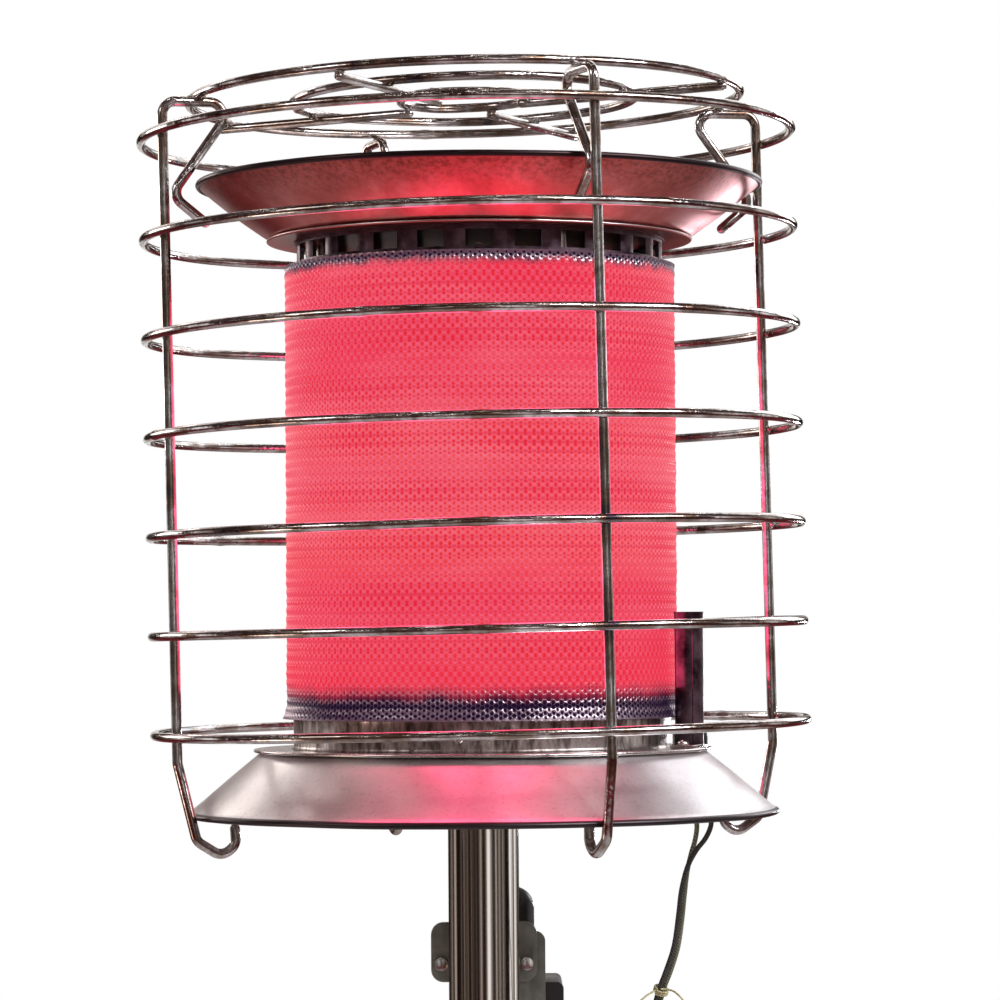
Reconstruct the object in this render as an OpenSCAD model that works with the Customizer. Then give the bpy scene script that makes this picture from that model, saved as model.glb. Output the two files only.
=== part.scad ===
// Free-standing outdoor gas heater: a round infrared burner in a wire guard on a steel pole,
// with the gas control behind the pole and a weighted round base.
// Millimetres, +Z up, origin on the ground under the middle of the pole.
// The control box is on the +Y side.

/* [Burner head] */
// Height of the top face of the burner plate above the ground
plate_z = 1490; // [1300:10:1700]
// Radius of the glowing screen
screen_r = 117; // [112:0.5:118]
// Height of the glowing screen
screen_h = 270; // [240:1:280]
// Radius of the burner plate
plate_r = 137; // [136.5:0.5:140]
// Radius of the upper reflector's rim, to the middle of its bead
upper_rim_r = 168.4; // [160:0.2:169]
// Radius of the lower reflector's rim, to the middle of its bead
lower_rim_r = 175.3; // [168:0.1:176]
// Thickness of the reflectors' sheet metal
sheet_t = 1.2; // [0.8:0.1:1.6]

/* [Guard] */
// Radius of the hoops, to the middle of the wire
hoop_r = 195; // [194:1:200]
// Height from one hoop to the next
hoop_pitch = 59; // [56:1:60]
// Diameter of the hoop wire
hoop_d = 5.5; // [4:0.5:6]
// Diameter of the upright wire
upright_d = 6; // [4.5:0.5:6]
// Lean of the guard towards -X, as it hangs loose on the two rims
guard_lean = 1.1; // [0:0.1:1.1]

/* [Pole and base] */
// Outside diameter of the pole
pole_d = 42.4; // [42:0.1:42.6]
// Wall of the pole
pole_wall = 2; // [1.6:0.2:2.2]
// Radius of the base plate
base_r = 240; // [230:5:260]
// Radius of the circle of anchor holes
anchor_r = 220; // [215:1:222]
// Radius of an anchor hole
anchor_hole_r = 5.5; // [4.5:0.5:6.5]

/* [Controls] */
// Width of the control box
box_w = 60; // [56:1:62]
// Height of the control box
box_h = 150; // [145:1:170]
// Depth of the control box
box_depth = 60; // [58:1:66]
// Radius of the control knob
knob_r = 18; // [15:1:20]
// How far the knob pushes in
knob_travel = 4; // [2:0.5:4]
// How far the igniter button pushes in
button_travel = 5; // [2:0.5:5]

/* [Hidden] */
$fn = 96;

weld = 0.3;                     // how far welded wires sink into each other
gap = 0.2;                      // air between pieces that only touch
bend_r = 8;                     // inside radius of the uprights' bends, to the wire's middle

// Heights of the head, from the burner plate up
screen_z = plate_z + 18;
screen_top = screen_z + screen_h;
collar_top = screen_top + 15;
top_plate_t = 1.5;
dish_z = collar_top + top_plate_t;
dish_floor_r = 127;
upper_rim_z = dish_z + 32.5;
lower_rim_z = plate_z - 38.6;
plate_t = 2;
flange_z = plate_z - plate_t;   // underside of the burner plate
flange_in_r = 104;
bead_r = 1.8;
upper_collar_r = 110;
lower_collar_r = 113;

// Guard
hoop_count = 7;
upright_angles = [-67.5, 19, 110, 201];
spoke_turn = 65;
first_hoop_z = plate_z + 12;
top_ring_z = first_hoop_z + (hoop_count - 1) * hoop_pitch + 23.5;
top_ring_r = [165.5, 103, 38.5];
upright_r = hoop_r - (hoop_d + upright_d) / 2 + weld;
arm_z = top_ring_z - (hoop_d + upright_d) / 2 + weld;
spoke_z = top_ring_z - hoop_d + weld;
upper_hook_slack = 6;           // room for the lean at the upper rim
upper_hook_r = upper_rim_r + bead_r + upright_d / 2 + upper_hook_slack;
lower_hook_r = lower_rim_r + bead_r + upright_d / 2 + 2 * gap;

// Pilot, beside the screen
pilot_r = 127.8;
pilot_turn = -17.3;
pilot_x = pilot_r * cos(pilot_turn);
pilot_y = pilot_r * sin(pilot_turn);
probe_gap = 4.6;                // from the pilot pipe to the thermocouple and to the electrode
pilot_top = plate_z + 80;
lead_exit_z = 1476;
pilot_run_z = lower_rim_z - 3.4;

// Pole
pole_r = pole_d / 2;
pole_in_r = pole_r - pole_wall;
pole_foot_z = 18;
pole_top_z = plate_z - 6;
socket_z = plate_z - 35;
air_slot_z = plate_z - 90;

// Control box
box_x = 18;
box_y = 26.5;
box_z = 1197;
box_wall = 2.5;
boss_inset = 6;
box_top = box_z + box_h;
cover_y = box_y + box_depth;
cover_t = 3;
bolt_x = 25.8;
bolt_z = 1359;
spindle_z = 1283;
button_z = 1232;
supply_z = 1270;
burner_z = 1296;
pilot_z = 1276;
pilot_pipe_x = 16.8;
pilot_pipe_y = -3;
gland_y = 55;
regulator_y = 56.5;
valve_y = box_y + box_wall;
valve_depth = 41;
spindle_seat_y = valve_y + 29;
spindle_r = 4;
knob_y = cover_y + cover_t + knob_travel + 0.5;
button_r = 8;

// Burner plate fasteners
tie_rod_r = 3;
tie_rod_circle_r = 95;
head_screw_circle_r = 52;

// Base
foot_h = 8;
base_t = 10;
base_top = foot_h + base_t;
foot_r = 25;
foot_circle_r = 195;
base_socket_r = 26;
base_bolt_z = 84;
base_bolt_turn = 30;
inlet_z = 130;
inlet_r = 10.5;
inlet_length = 16;

// Routes of the two leads, from the burner plate to the gland on the control box
lead_d = 3;
thermocouple_route = [
    [117.6, -36.6, 1476], [118.6, -34.5, 1466], [121.5, -32.5, 1456], [126, -32, 1446],
    [125.5, -28.5, 1436], [123, -23, 1426], [121, -18, 1416], [119.5, -13.5, 1402],
    [118, -8.5, 1386], [115.8, -3.5, 1370], [111.5, 2.5, 1355], [107.5, 7, 1344],
    [104, 13, 1329], [100, 21, 1314], [95, 30, 1303], [88.5, 39, 1299],
    [81.5, 47, 1301], [75.5, 52.5, 1305.5], [70, 54.7, 1309], [65, 55, 1310], [60, 55, 1310]
];
igniter_route = [
    [126.4, -39.4, 1476], [128, -39.5, 1466], [132, -38.5, 1456], [134.5, -37, 1446],
    [131.5, -35, 1437], [125.5, -33, 1429], [120.5, -29.5, 1419], [117.2, -23.5, 1405],
    [115.6, -17.5, 1390], [113.2, -9.5, 1371], [108.5, -0.5, 1355], [104.3, 4.2, 1343],
    [100.5, 10.5, 1327], [96, 19, 1310], [90.5, 28.5, 1297.5], [84, 38, 1292],
    [78, 46.5, 1292.5], [73, 52, 1296.5], [69, 54.5, 1301], [65, 55, 1303], [60, 55, 1303]
];
tie_at = [105.9, 5.6, 1343.5];
tie_along = [-7.5, 10.5, -26];
tie_ring_r = 4.5;
tie_wire_r = 0.6;

// ---- Geometry helpers ----

function unit(v) = v / norm(v);

// Points of a circular bend that rounds corner p, arriving from a and leaving to b
function corner_arc(a, p, b, r, n) =
    let (
        u = unit(a - p),
        v = unit(b - p),
        half = acos(max(-1, min(1, u * v))) / 2,
        turn = 90 - half,
        middle = p + unit(u + v) * r / sin(half),
        inward = unit(u + v),
        across = unit(v - u)
    )
    [
        for (k = [0:n])
            let (angle = turn * (2 * k / n - 1))
            middle + r * (across * sin(angle) - inward * cos(angle))
    ];

// A path through the points with every inner corner rounded
function rounded_path(points, r, n) = [
    points[0],
    for (i = [1:len(points) - 2])
        each corner_arc(points[i - 1], points[i], points[i + 1], r, n),
    points[len(points) - 1]
];

// A smooth curve through the points, with n steps between neighbours
function smooth_path(points, n) = [
    for (i = [0:len(points) - 2], k = [0:n - 1])
        let (
            a = points[max(i - 1, 0)],
            b = points[i],
            c = points[i + 1],
            d = points[min(i + 2, len(points) - 1)],
            t = k / n
        )
        0.5 * (2 * b + (c - a) * t + (2 * a - 5 * b + 4 * c - d) * t ^ 2 + (3 * b - a - 3 * c + d) * t ^ 3),
    points[len(points) - 1]
];

function tangent(path, i) =
    unit(path[min(i + 1, len(path) - 1)] - path[max(i - 1, 0)]);

// Directions square to the path, carried along it without twist
function side_vectors(path, i = 0, last = undef) =
    i >= len(path) ? [] :
    let (
        t = tangent(path, i),
        seed = last == undef ? (abs(t.z) < 0.9 ? [0, 0, 1] : [0, 1, 0]) : last,
        s = unit(seed - (seed * t) * t)
    )
    concat([s], side_vectors(path, i + 1, s));

// A round rod of radius r along a path
module rod_along(path, r, sides) {
    side = side_vectors(path);
    n = len(path);
    rings = [
        for (i = [0:n - 1])
            let (t = tangent(path, i), s = side[i], q = cross(t, s))
            for (k = [0:sides - 1])
                path[i] + r * (cos(360 * k / sides) * s + sin(360 * k / sides) * q)
    ];
    walls = [
        for (i = [0:n - 2], k = [0:sides - 1])
            let (a = i * sides + k, b = i * sides + (k + 1) % sides)
            each [[a, a + sides, b], [b, a + sides, b + sides]]
    ];
    start = [for (k = [0:sides - 1]) k];
    end = [for (k = [0:sides - 1]) (n - 1) * sides + sides - 1 - k];
    polyhedron(rings, concat([start], walls, [end]));
}

module ring(r, wire_d) {
    rotate_extrude() translate([r, 0]) circle(d = wire_d, $fn = 32);
}

module tube(r_out, r_in, z0, z1) {
    difference() {
        translate([0, 0, z0]) cylinder(r = r_out, h = z1 - z0);
        translate([0, 0, z0 - 1]) cylinder(r = r_in, h = z1 - z0 + 2);
    }
}

// Copies of the children on a circle
module around(count, r, turn = 0) {
    for (i = [0:count - 1])
        rotate([0, 0, turn + 360 * i / count]) translate([r, 0, 0]) children();
}

// A cylinder that starts at a point and runs along +Y
module along_y(at, r, length) {
    translate(at) rotate([-90, 0, 0]) cylinder(r = r, h = length);
}

// A plate in the XZ plane with rounded corners, from y to y + t
module rounded_plate(x0, x1, z0, z1, corner, y, t) {
    hull()
        for (x = [x0 + corner, x1 - corner], z = [z0 + corner, z1 - corner])
            translate([x, y, z]) rotate([-90, 0, 0]) cylinder(r = corner, h = t, $fn = 32);
}

// ---- Wire guard ----

// The guard hangs on the lower rim and leans
module hung() {
    translate([0, 0, lower_rim_z]) rotate([0, -guard_lean, 0]) translate([0, 0, -lower_rim_z]) children();
}

module guard_hoop(i) {
    color("gainsboro") hung()
        translate([0, 0, first_hoop_z + (i - 1) * hoop_pitch]) ring(hoop_r, hoop_d);
}

module guard_top_ring(i) {
    color("gainsboro") hung() translate([0, 0, top_ring_z]) ring(top_ring_r[i], hoop_d);
}

// One upright, bent from a single wire: a hook under the lower rim, the long straight,
// an arm under the top rings and a hook under the upper rim
module guard_upright(i) {
    slope = 0.74;
    elbow_drop = 8;
    corners = [
        [155.5, 0, lower_rim_z - 3.5],
        [155, 0, lower_rim_z - 13],
        [164, 0, lower_rim_z - 19.5],
        [lower_hook_r - 1.6, 0, lower_rim_z - 10],
        [upright_r, 0, plate_z - 3],
        [upright_r, 0, arm_z],
        [upper_hook_r - (arm_z - upper_rim_z) * slope, 0, arm_z],
        [upper_hook_r + elbow_drop * slope, 0, upper_rim_z - elbow_drop],
        [upper_rim_r - 3.4, 0, upper_rim_z - 24]
    ];
    color("gainsboro") hung()
        rotate([0, 0, upright_angles[i - 1]])
            rod_along(rounded_path(corners, bend_r, 6), upright_d / 2, 12);
}

module guard_spokes() {
    color("gainsboro") hung() around(4, top_ring_r[2] - 3, spoke_turn)
        translate([0, 0, spoke_z]) rotate([0, 90, 0])
            cylinder(d = hoop_d, h = top_ring_r[0] - top_ring_r[2] + 6);
}

// ---- Burner head ----

module upper_reflector() {
    color("silver") difference() {
        union() {
            rotate_extrude() polygon([
                [0, dish_z], [dish_floor_r, dish_z],
                [upper_rim_r, upper_rim_z], [upper_rim_r - 0.8, upper_rim_z + 0.9],
                [dish_floor_r - 0.5, dish_z + sheet_t], [0, dish_z + sheet_t]
            ]);
            translate([0, 0, upper_rim_z]) ring(upper_rim_r, 2 * bead_r);
        }
        tie_rod_holes(dish_z);
    }
}

module top_plate() {
    color("silver") difference() {
        translate([0, 0, collar_top]) cylinder(r = dish_floor_r + 1, h = top_plate_t);
        tie_rod_holes(collar_top);
    }
}

module tie_rod_holes(z) {
    around(3, tie_rod_circle_r, 60)
        translate([0, 0, z - 2]) cylinder(r = tie_rod_r + gap, h = 6);
}

module tie_rods() {
    color("gray") around(3, tie_rod_circle_r, 60)
        translate([0, 0, plate_z - 10]) cylinder(r = tie_rod_r, h = dish_z - plate_z + 17);
}

// A hex nut under the burner plate and another on the reflector's floor, for each rod
module tie_rod_nuts() {
    color("silver") around(3, tie_rod_circle_r, 60)
        for (z = [flange_z - 5.1, dish_z + sheet_t + 0.1])
            translate([0, 0, z]) difference() {
                cylinder(r = 5.6, h = 5, $fn = 6);
                translate([0, 0, -1]) cylinder(r = tie_rod_r + 0.05, h = 7);
            }
}

window_count = 24;

// Ring of flue windows between the screen and the upper reflector
module vent_collar() {
    color("dimgray") difference() {
        union() {
            tube(upper_collar_r, upper_collar_r - 1, screen_top - 2, collar_top);
            tube(screen_r - 1.2, upper_collar_r - 1, screen_top - 2, screen_top - 0.8);
        }
        for (i = [0:window_count / 2 - 1])
            rotate([0, 0, 360 / window_count * i])
                translate([-150, -8.5, screen_top + 2.5]) cube([300, 17, 10]);
    }
}

module glow_screen() {
    color("crimson") tube(screen_r, screen_r - 1, screen_z, screen_top);
}

module lower_collar() {
    color("dimgray") {
        tube(lower_collar_r, lower_collar_r - 1, plate_z, screen_z + 1.2);
        tube(screen_r - 1.2, lower_collar_r - 0.5, screen_z, screen_z + 1.2);
    }
}

// Puts children on the pilot's own axis, with +X pointing away from the pole
module at_pilot() {
    rotate([0, 0, pilot_turn]) translate([pilot_r, 0, 0]) children();
}

module pilot_holes(z) {
    for (dx = [-probe_gap, 0, probe_gap])
        at_pilot() translate([dx, 0, z - 2]) cylinder(r = 2.1, h = 6);
}

module burner_plate() {
    color("silver") difference() {
        translate([0, 0, flange_z]) cylinder(r = plate_r, h = plate_t);
        translate([0, 0, flange_z - 1]) cylinder(r = 14.1, h = plate_t + 2);
        tie_rod_holes(flange_z);
        pilot_holes(flange_z);
        around(4, head_screw_circle_r, 45)
            translate([0, 0, flange_z - 1]) cylinder(r = 2.7, h = plate_t + 2);
    }
}

module lower_reflector() {
    shoulder_r = plate_r - 3;
    color("silver") difference() {
        union() {
            rotate_extrude() polygon([
                [flange_in_r, flange_z], [shoulder_r, flange_z],
                [lower_rim_r, lower_rim_z], [lower_rim_r - 0.9, lower_rim_z - 0.8],
                [shoulder_r - 0.5, flange_z - sheet_t], [flange_in_r, flange_z - sheet_t]
            ]);
            translate([0, 0, lower_rim_z]) ring(lower_rim_r, 2 * bead_r);
        }
        pilot_holes(flange_z - sheet_t);
    }
}

inner_screen_r = 63;

module inner_screen() {
    color("gray") tube(inner_screen_r, inner_screen_r - 1, plate_z, plate_z + 210);
}

module baffle_plate() {
    color("gray") translate([0, 0, plate_z + 210]) cylinder(r = inner_screen_r, h = 1.5);
}

// Hollow burner with two rows of gas ports
module burner_drum() {
    drum_z = plate_z + 2;
    color("silver") difference() {
        translate([0, 0, drum_z]) cylinder(r = 46, h = 22);
        translate([0, 0, drum_z + 1.5]) cylinder(r = 44.5, h = 19);
        translate([0, 0, drum_z - 1]) cylinder(r = 13, h = 4);
        for (row = [0, 1])
            around(12, 42, 15 * row)
                translate([0, 0, drum_z + 8 + 7 * row]) rotate([0, 90, 0]) cylinder(r = 2.5, h = 6, $fn = 24);
    }
}

// Venturi that draws in air above the orifice and carries the mixture to the burner
module mixer_tube() {
    color("silver") difference() {
        union() {
            translate([0, 0, plate_z - 100]) cylinder(r = 14, h = 100);
            translate([0, 0, plate_z]) cylinder(r = 26, h = 2);
        }
        translate([0, 0, plate_z - 101]) cylinder(r = 12.6, h = 104);
    }
}

module gas_orifice() {
    z = plate_z - 118;
    color("goldenrod") difference() {
        union() {
            translate([0, 0, z]) cylinder(r = 9, h = 10, $fn = 6);
            translate([0, 0, z + 10]) cylinder(r1 = 5, r2 = 2.5, h = 7);
        }
        translate([0, 0, z - 1]) cylinder(r = 5.1, h = 7);
        translate([0, 0, z + 5]) cylinder(r = 0.8, h = 14);
    }
}

module burner_pipe() {
    corners = [[0, valve_y, burner_z], [0, 0, burner_z], [0, 0, plate_z - 112.2]];
    color("goldenrod") rod_along(rounded_path(corners, 10, 6), 5, 12);
}

module supply_pipe() {
    corners = [[0, pole_r - 3, inlet_z], [0, 0, inlet_z], [0, 0, supply_z], [0, valve_y, supply_z]];
    color("goldenrod") rod_along(rounded_path(corners, 9, 6), 5, 12);
}

// Union on the back of the pole, with the thread for the gas hose
module gas_inlet() {
    color("goldenrod") difference() {
        union() {
            along_y([0, pole_r - 3, inlet_z], 8, 5.5);
            translate([0, pole_r + 2.4, inlet_z]) rotate([-90, 0, 0]) cylinder(r = 15, h = 9, $fn = 6);
            along_y([0, pole_r + 11.3, inlet_z], inlet_r, inlet_length);
        }
        along_y([0, pole_r + 12, inlet_z], 6.5, 20);
    }
}

module pilot_pipe() {
    corners = [
        [pilot_x, pilot_y, pilot_top - 18], [pilot_x, pilot_y, pilot_run_z],
        [pilot_pipe_x, pilot_pipe_y, pilot_run_z],
        [pilot_pipe_x, pilot_pipe_y, pilot_z], [pilot_pipe_x, valve_y, pilot_z]
    ];
    color("silver") rod_along(rounded_path(corners, 6, 5), 1.8, 8);
}

// Round shield, open towards the screen, that keeps wind off the pilot flame
module pilot_shield() {
    foot_z = plate_z + 2;
    color("dimgray") at_pilot() difference() {
        tube(8.5, 7.5, foot_z, pilot_top);
        translate([-12, -3.5, foot_z + 34]) cube([12, 7, 30]);
    }
}

module pilot_bracket() {
    color("silver") difference() {
        at_pilot() translate([-8.4, -16, plate_z]) cube([16.4, 32, 1.9]);
        pilot_holes(plate_z);
        for (dy = [-12, 12])
            at_pilot() translate([-1, dy, plate_z - 1]) cylinder(r = 2.2, h = 5);
    }
}

module pilot_screws() {
    color("silver") for (dy = [-12, 12])
        at_pilot() translate([-1, dy, plate_z + 1.95]) {
            cylinder(r = 3.4, h = 2.4);
            translate([0, 0, -1.9]) cylinder(r = 2, h = 2);
        }
}

module probe(dx, shaft_r, top, nut_r) {
    at_pilot() translate([dx, 0, lead_exit_z]) cylinder(r = shaft_r, h = top - lead_exit_z);
    at_pilot() translate([dx, 0, lead_exit_z + 1]) cylinder(r = nut_r, h = 7, $fn = 6);
}

module thermocouple() {
    color("silver") probe(-probe_gap, 1.6, pilot_top - 14, 2.6);
}

module igniter_electrode() {
    color("white") probe(probe_gap, 1.8, pilot_top - 26, 2.6);
    color("silver") at_pilot() translate([probe_gap, 0, pilot_top - 26.5]) cylinder(r = 0.8, h = 10);
}

// ---- Leads ----

module thermocouple_lead() {
    color("darkolivegreen") rod_along(smooth_path(thermocouple_route, 3), lead_d / 2, 8);
}

module igniter_lead() {
    color("black") rod_along(smooth_path(igniter_route, 3), lead_d / 2, 8);
}

// Twist of soft wire round both leads, with two free tails
module lead_tie() {
    axis = unit(tie_along);
    lean = acos(axis.z);
    spin = atan2(axis.y, axis.x);
    tails = [
        [[101, 2.6, 1343], [97, -1, 1341], [91, -3, 1336], [87, -4, 1331]],
        [[110.5, 2, 1344], [114, -2.5, 1343], [119, -5, 1338], [122, -6, 1332]]
    ];
    color("khaki") {
        translate(tie_at) rotate([0, 0, spin]) rotate([0, lean, 0])
            rotate_extrude() translate([tie_ring_r, 0]) circle(r = tie_wire_r, $fn = 24);
        for (tail = tails)
            rod_along(smooth_path(tail, 3), tie_wire_r, 8);
    }
}

module lead_gland() {
    gland_x = box_x + box_w / 2;
    color("black") hull()
        for (z = [1303, 1310])
            translate([gland_x, gland_y, z]) rotate([0, 90, 0]) cylinder(r1 = 6.5, r2 = 4, h = 12, $fn = 32);
}

// ---- Pole ----

module pole_socket() {
    color("darkgray") difference() {
        union() {
            translate([0, 0, flange_z - 3]) cylinder(r = 60, h = 3);
            translate([0, 0, socket_z]) cylinder(r = 25.2, h = flange_z - 3 - socket_z);
        }
        translate([0, 0, socket_z - 1]) cylinder(r = pole_r + 0.1, h = 60);
        around(4, head_screw_circle_r, 45)
            translate([0, 0, flange_z - 5]) cylinder(r = 2.7, h = 8);
    }
}

module head_screws() {
    color("silver") around(4, head_screw_circle_r, 45) {
        translate([0, 0, plate_z + 0.1]) cylinder(r = 4.4, h = 2.6);
        translate([0, 0, flange_z - 9]) cylinder(r = 2.5, h = plate_t + 9.2);
        translate([0, 0, flange_z - 7.3]) cylinder(r = 4.5, h = 4, $fn = 6);
    }
}

module pole() {
    color("silver") difference() {
        translate([0, 0, pole_foot_z]) cylinder(r = pole_r, h = pole_top_z - pole_foot_z);
        translate([0, 0, pole_foot_z - 1]) cylinder(r = pole_in_r, h = pole_top_z - pole_foot_z + 2);
        along_y([0, 0, inlet_z], 8.3, 40);
        along_y([0, 0, supply_z], 5.6, 40);
        along_y([0, 0, burner_z], 5.6, 40);
        along_y([pilot_pipe_x, 0, pilot_z], 2.8, 40);
        translate([pilot_pipe_x, pilot_pipe_y, pilot_run_z])
            rotate([0, 0, atan2(pilot_y - pilot_pipe_y, pilot_x - pilot_pipe_x)])
                rotate([0, 90, 0]) translate([0, 0, -6]) cylinder(r = 2.9, h = 40);
        for (turn = [30, 90, 150])
            rotate([0, 0, turn]) translate([15, -3, air_slot_z]) cube([12, 6, 30]);
    }
}

// ---- Control ----

module bracket_bolt_holes(y) {
    for (x = [-bolt_x, bolt_x])
        along_y([x, y, bolt_z], 2.7, 20);
}

// Saddle that grips the back of the pole
module saddle_bracket() {
    color("dimgray") difference() {
        rounded_plate(-32, 32, 1348, 1384, 7.5, 18.5, 5);
        translate([0, 0, 1300]) cylinder(r = pole_r + 0.05, h = 120);
        bracket_bolt_holes(15);
    }
}

// Strap that hangs the control box from the saddle
module box_bracket() {
    color("gray") difference() {
        union() {
            rounded_plate(-31, 37, 1351, 1378, 6, 23.6, box_y - 23.7);
            rounded_plate(-10, 37, 1205, 1378, 6, 23.6, box_y - 23.7);
        }
        bracket_bolt_holes(15);
        along_y([0, 20, supply_z], 5.6, 10);
        along_y([0, 20, burner_z], 5.6, 10);
        along_y([pilot_pipe_x, 20, pilot_z], 2.8, 10);
    }
}

module bracket_bolts() {
    color("silver") for (x = [-bolt_x, bolt_x]) {
        along_y([x, 15.6, bolt_z], 4, 2.8);
        along_y([x, 18.3, bolt_z], 2.5, 13);
        translate([x, box_y + 0.1, bolt_z]) rotate([-90, 0, 0]) cylinder(r = 4.6, h = 4, $fn = 6);
    }
}

// Copies of the children at the four corners of the control box
module box_corners(inset) {
    for (x = [box_x - box_w / 2 + inset, box_x + box_w / 2 - inset], z = [box_z + inset, box_top - inset])
        translate([x, 0, z]) children();
}

module control_box() {
    x0 = box_x - box_w / 2;
    x1 = box_x + box_w / 2;
    boss_y = box_y + box_wall - 0.5;
    color("black") difference() {
        union() {
            difference() {
                rounded_plate(x0, x1, box_z, box_top, 4, box_y, box_depth);
                translate([x0 + box_wall, box_y + box_wall, box_z + box_wall])
                    cube([box_w - 2 * box_wall, box_depth, box_h - 2 * box_wall]);
            }
            box_corners(boss_inset) along_y([0, boss_y, 0], 4, cover_y - boss_y);
        }
        box_corners(boss_inset) along_y([0, cover_y - 12, 0], 1.5, 14);
        along_y([0, box_y - 2, supply_z], 5.6, 10);
        along_y([0, box_y - 2, burner_z], 5.6, 10);
        along_y([pilot_pipe_x, box_y - 2, pilot_z], 2.8, 10);
        translate([box_x, regulator_y, box_top - 10]) cylinder(r = 13.2, h = 20);
    }
}

module control_cover() {
    x0 = box_x - box_w / 2;
    x1 = box_x + box_w / 2;
    color("black") difference() {
        rounded_plate(x0, x1, box_z, box_top, 4, cover_y, cover_t);
        box_corners(boss_inset) along_y([0, cover_y - 1, 0], 1.8, 10);
        along_y([box_x, cover_y - 1, spindle_z], spindle_r + 0.08, 10);
        along_y([box_x, cover_y - 1, button_z], button_r + 0.08, 10);
    }
}

module cover_screws() {
    color("silver") box_corners(boss_inset) {
        along_y([0, cover_y - 8, 0], 1.45, cover_t + 9);
        along_y([0, cover_y + cover_t + 0.05, 0], 3.2, 2);
    }
}

module gas_valve() {
    color("goldenrod") difference() {
        translate([-8, valve_y, 1256]) cube([48, valve_depth, 48]);
        along_y([box_x, spindle_seat_y, spindle_z], spindle_r + 0.08, 20);
    }
}

// Domed bonnet of the gas regulator, standing out of the top of the box
module regulator_cap() {
    cap_r = 13;
    cap_top = 1403;
    color("black") translate([box_x, regulator_y, 0]) rotate_extrude() polygon([
        [0, 1304.1], [cap_r, 1304.1],
        for (a = [0:7.5:90]) [cap_r * cos(a), cap_top - cap_r + cap_r * sin(a)]
    ]);
}

module valve_spindle() {
    start_y = spindle_seat_y + knob_travel + 0.5;
    color("silver") along_y([box_x, start_y, spindle_z], spindle_r, knob_y + 15.3 - start_y);
}

// Round knob with a finger bar across its face
module control_knob() {
    color("black") difference() {
        union() {
            translate([box_x, knob_y, spindle_z]) rotate([-90, 0, 0])
                cylinder(r1 = knob_r, r2 = knob_r - 2, h = 10);
            translate([box_x - 3, knob_y + 9, spindle_z - knob_r + 3]) cube([6, 11, 2 * knob_r - 6]);
        }
        along_y([box_x, knob_y - 1, spindle_z], spindle_r + 0.05, 16.5);
    }
}

module igniter_button() {
    color("firebrick") {
        along_y([box_x, cover_y - 2, button_z], button_r, cover_t + 2 + button_travel + 2);
        along_y([box_x, cover_y - 2.2, button_z], button_r + 2.5, 2.1);
    }
}

// ---- Base ----

module base_plate() {
    color("dimgray") difference() {
        union() {
            translate([0, 0, foot_h]) cylinder(r = base_r, h = base_t);
            translate([0, 0, base_top - 1]) cylinder(r = base_socket_r, h = 81);
        }
        translate([0, 0, base_top]) cylinder(r = pole_r + 0.1, h = 90);
        around(3, 0, base_bolt_turn)
            translate([pole_r - 2, 0, base_bolt_z]) rotate([0, 90, 0]) cylinder(r = 4.05, h = 12);
        around(4, anchor_r)
            translate([0, 0, foot_h - 1]) cylinder(r = anchor_hole_r, h = base_t + 2);
    }
}

// Spun cover over the weight of the base
module base_cover() {
    rise = 52;
    cover_r = 196;
    neck_r = 27;
    function outline(t, drop) = [
        for (a = [0:10:90])
            [neck_r + (cover_r - neck_r - t) * cos(a), base_top + 0.1 + (rise - drop) * sin(a) * sin(a)]
    ];
    color("silver") difference() {
        rotate_extrude() polygon(concat([[neck_r, base_top + 0.1]], outline(0, 0)));
        rotate_extrude() polygon(concat(
            [[neck_r - 1, base_top - 1], [cover_r - 4, base_top - 1]], outline(4, 1.6),
            [[neck_r - 1, base_top + rise - 1.6]]
        ));
    }
}

// Bolts that pinch the pole in its socket
module base_bolts() {
    color("silver") around(3, 0, base_bolt_turn) translate([0, 0, base_bolt_z]) rotate([0, 90, 0]) {
        translate([0, 0, pole_r + 0.1]) cylinder(r = 4, h = 9);
        translate([0, 0, base_socket_r + 3]) cylinder(r = 7.2, h = 5.3, $fn = 6);
    }
}

module rubber_feet() {
    color("black") around(4, foot_circle_r, 45) cylinder(r = foot_r, h = foot_h);
}

// ---- Nodes ----

for (i = [1:hoop_count])
    guard_hoop(i);
for (i = [1:4])
    guard_upright(i);
guard_spokes();
guard_top_ring(0);  // guard_top_ring_outer
guard_top_ring(1);  // guard_top_ring_middle
guard_top_ring(2);  // guard_top_ring_inner
upper_reflector();
top_plate();
vent_collar();
glow_screen();
lower_collar();
burner_plate();
lower_reflector();
tie_rods();
tie_rod_nuts();
inner_screen();
baffle_plate();
burner_drum();
mixer_tube();
gas_orifice();
burner_pipe();
supply_pipe();
pilot_pipe();
gas_inlet();
pilot_shield();
pilot_bracket();
pilot_screws();
thermocouple();
igniter_electrode();
thermocouple_lead();
igniter_lead();
lead_tie();
lead_gland();
pole_socket();
head_screws();
pole();
saddle_bracket();
box_bracket();
bracket_bolts();
control_box();
control_cover();
cover_screws();
gas_valve();
regulator_cap();
valve_spindle();
control_knob();
igniter_button();
base_plate();
base_cover();
base_bolts();
rubber_feet();
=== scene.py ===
"""Looks of the outdoor heater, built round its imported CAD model. Lengths are in millimetres until a mesh is made."""
import math
from math import cos, pi, radians, sin

import bmesh
import bpy
from mathutils import Matrix, Vector, noise


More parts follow.
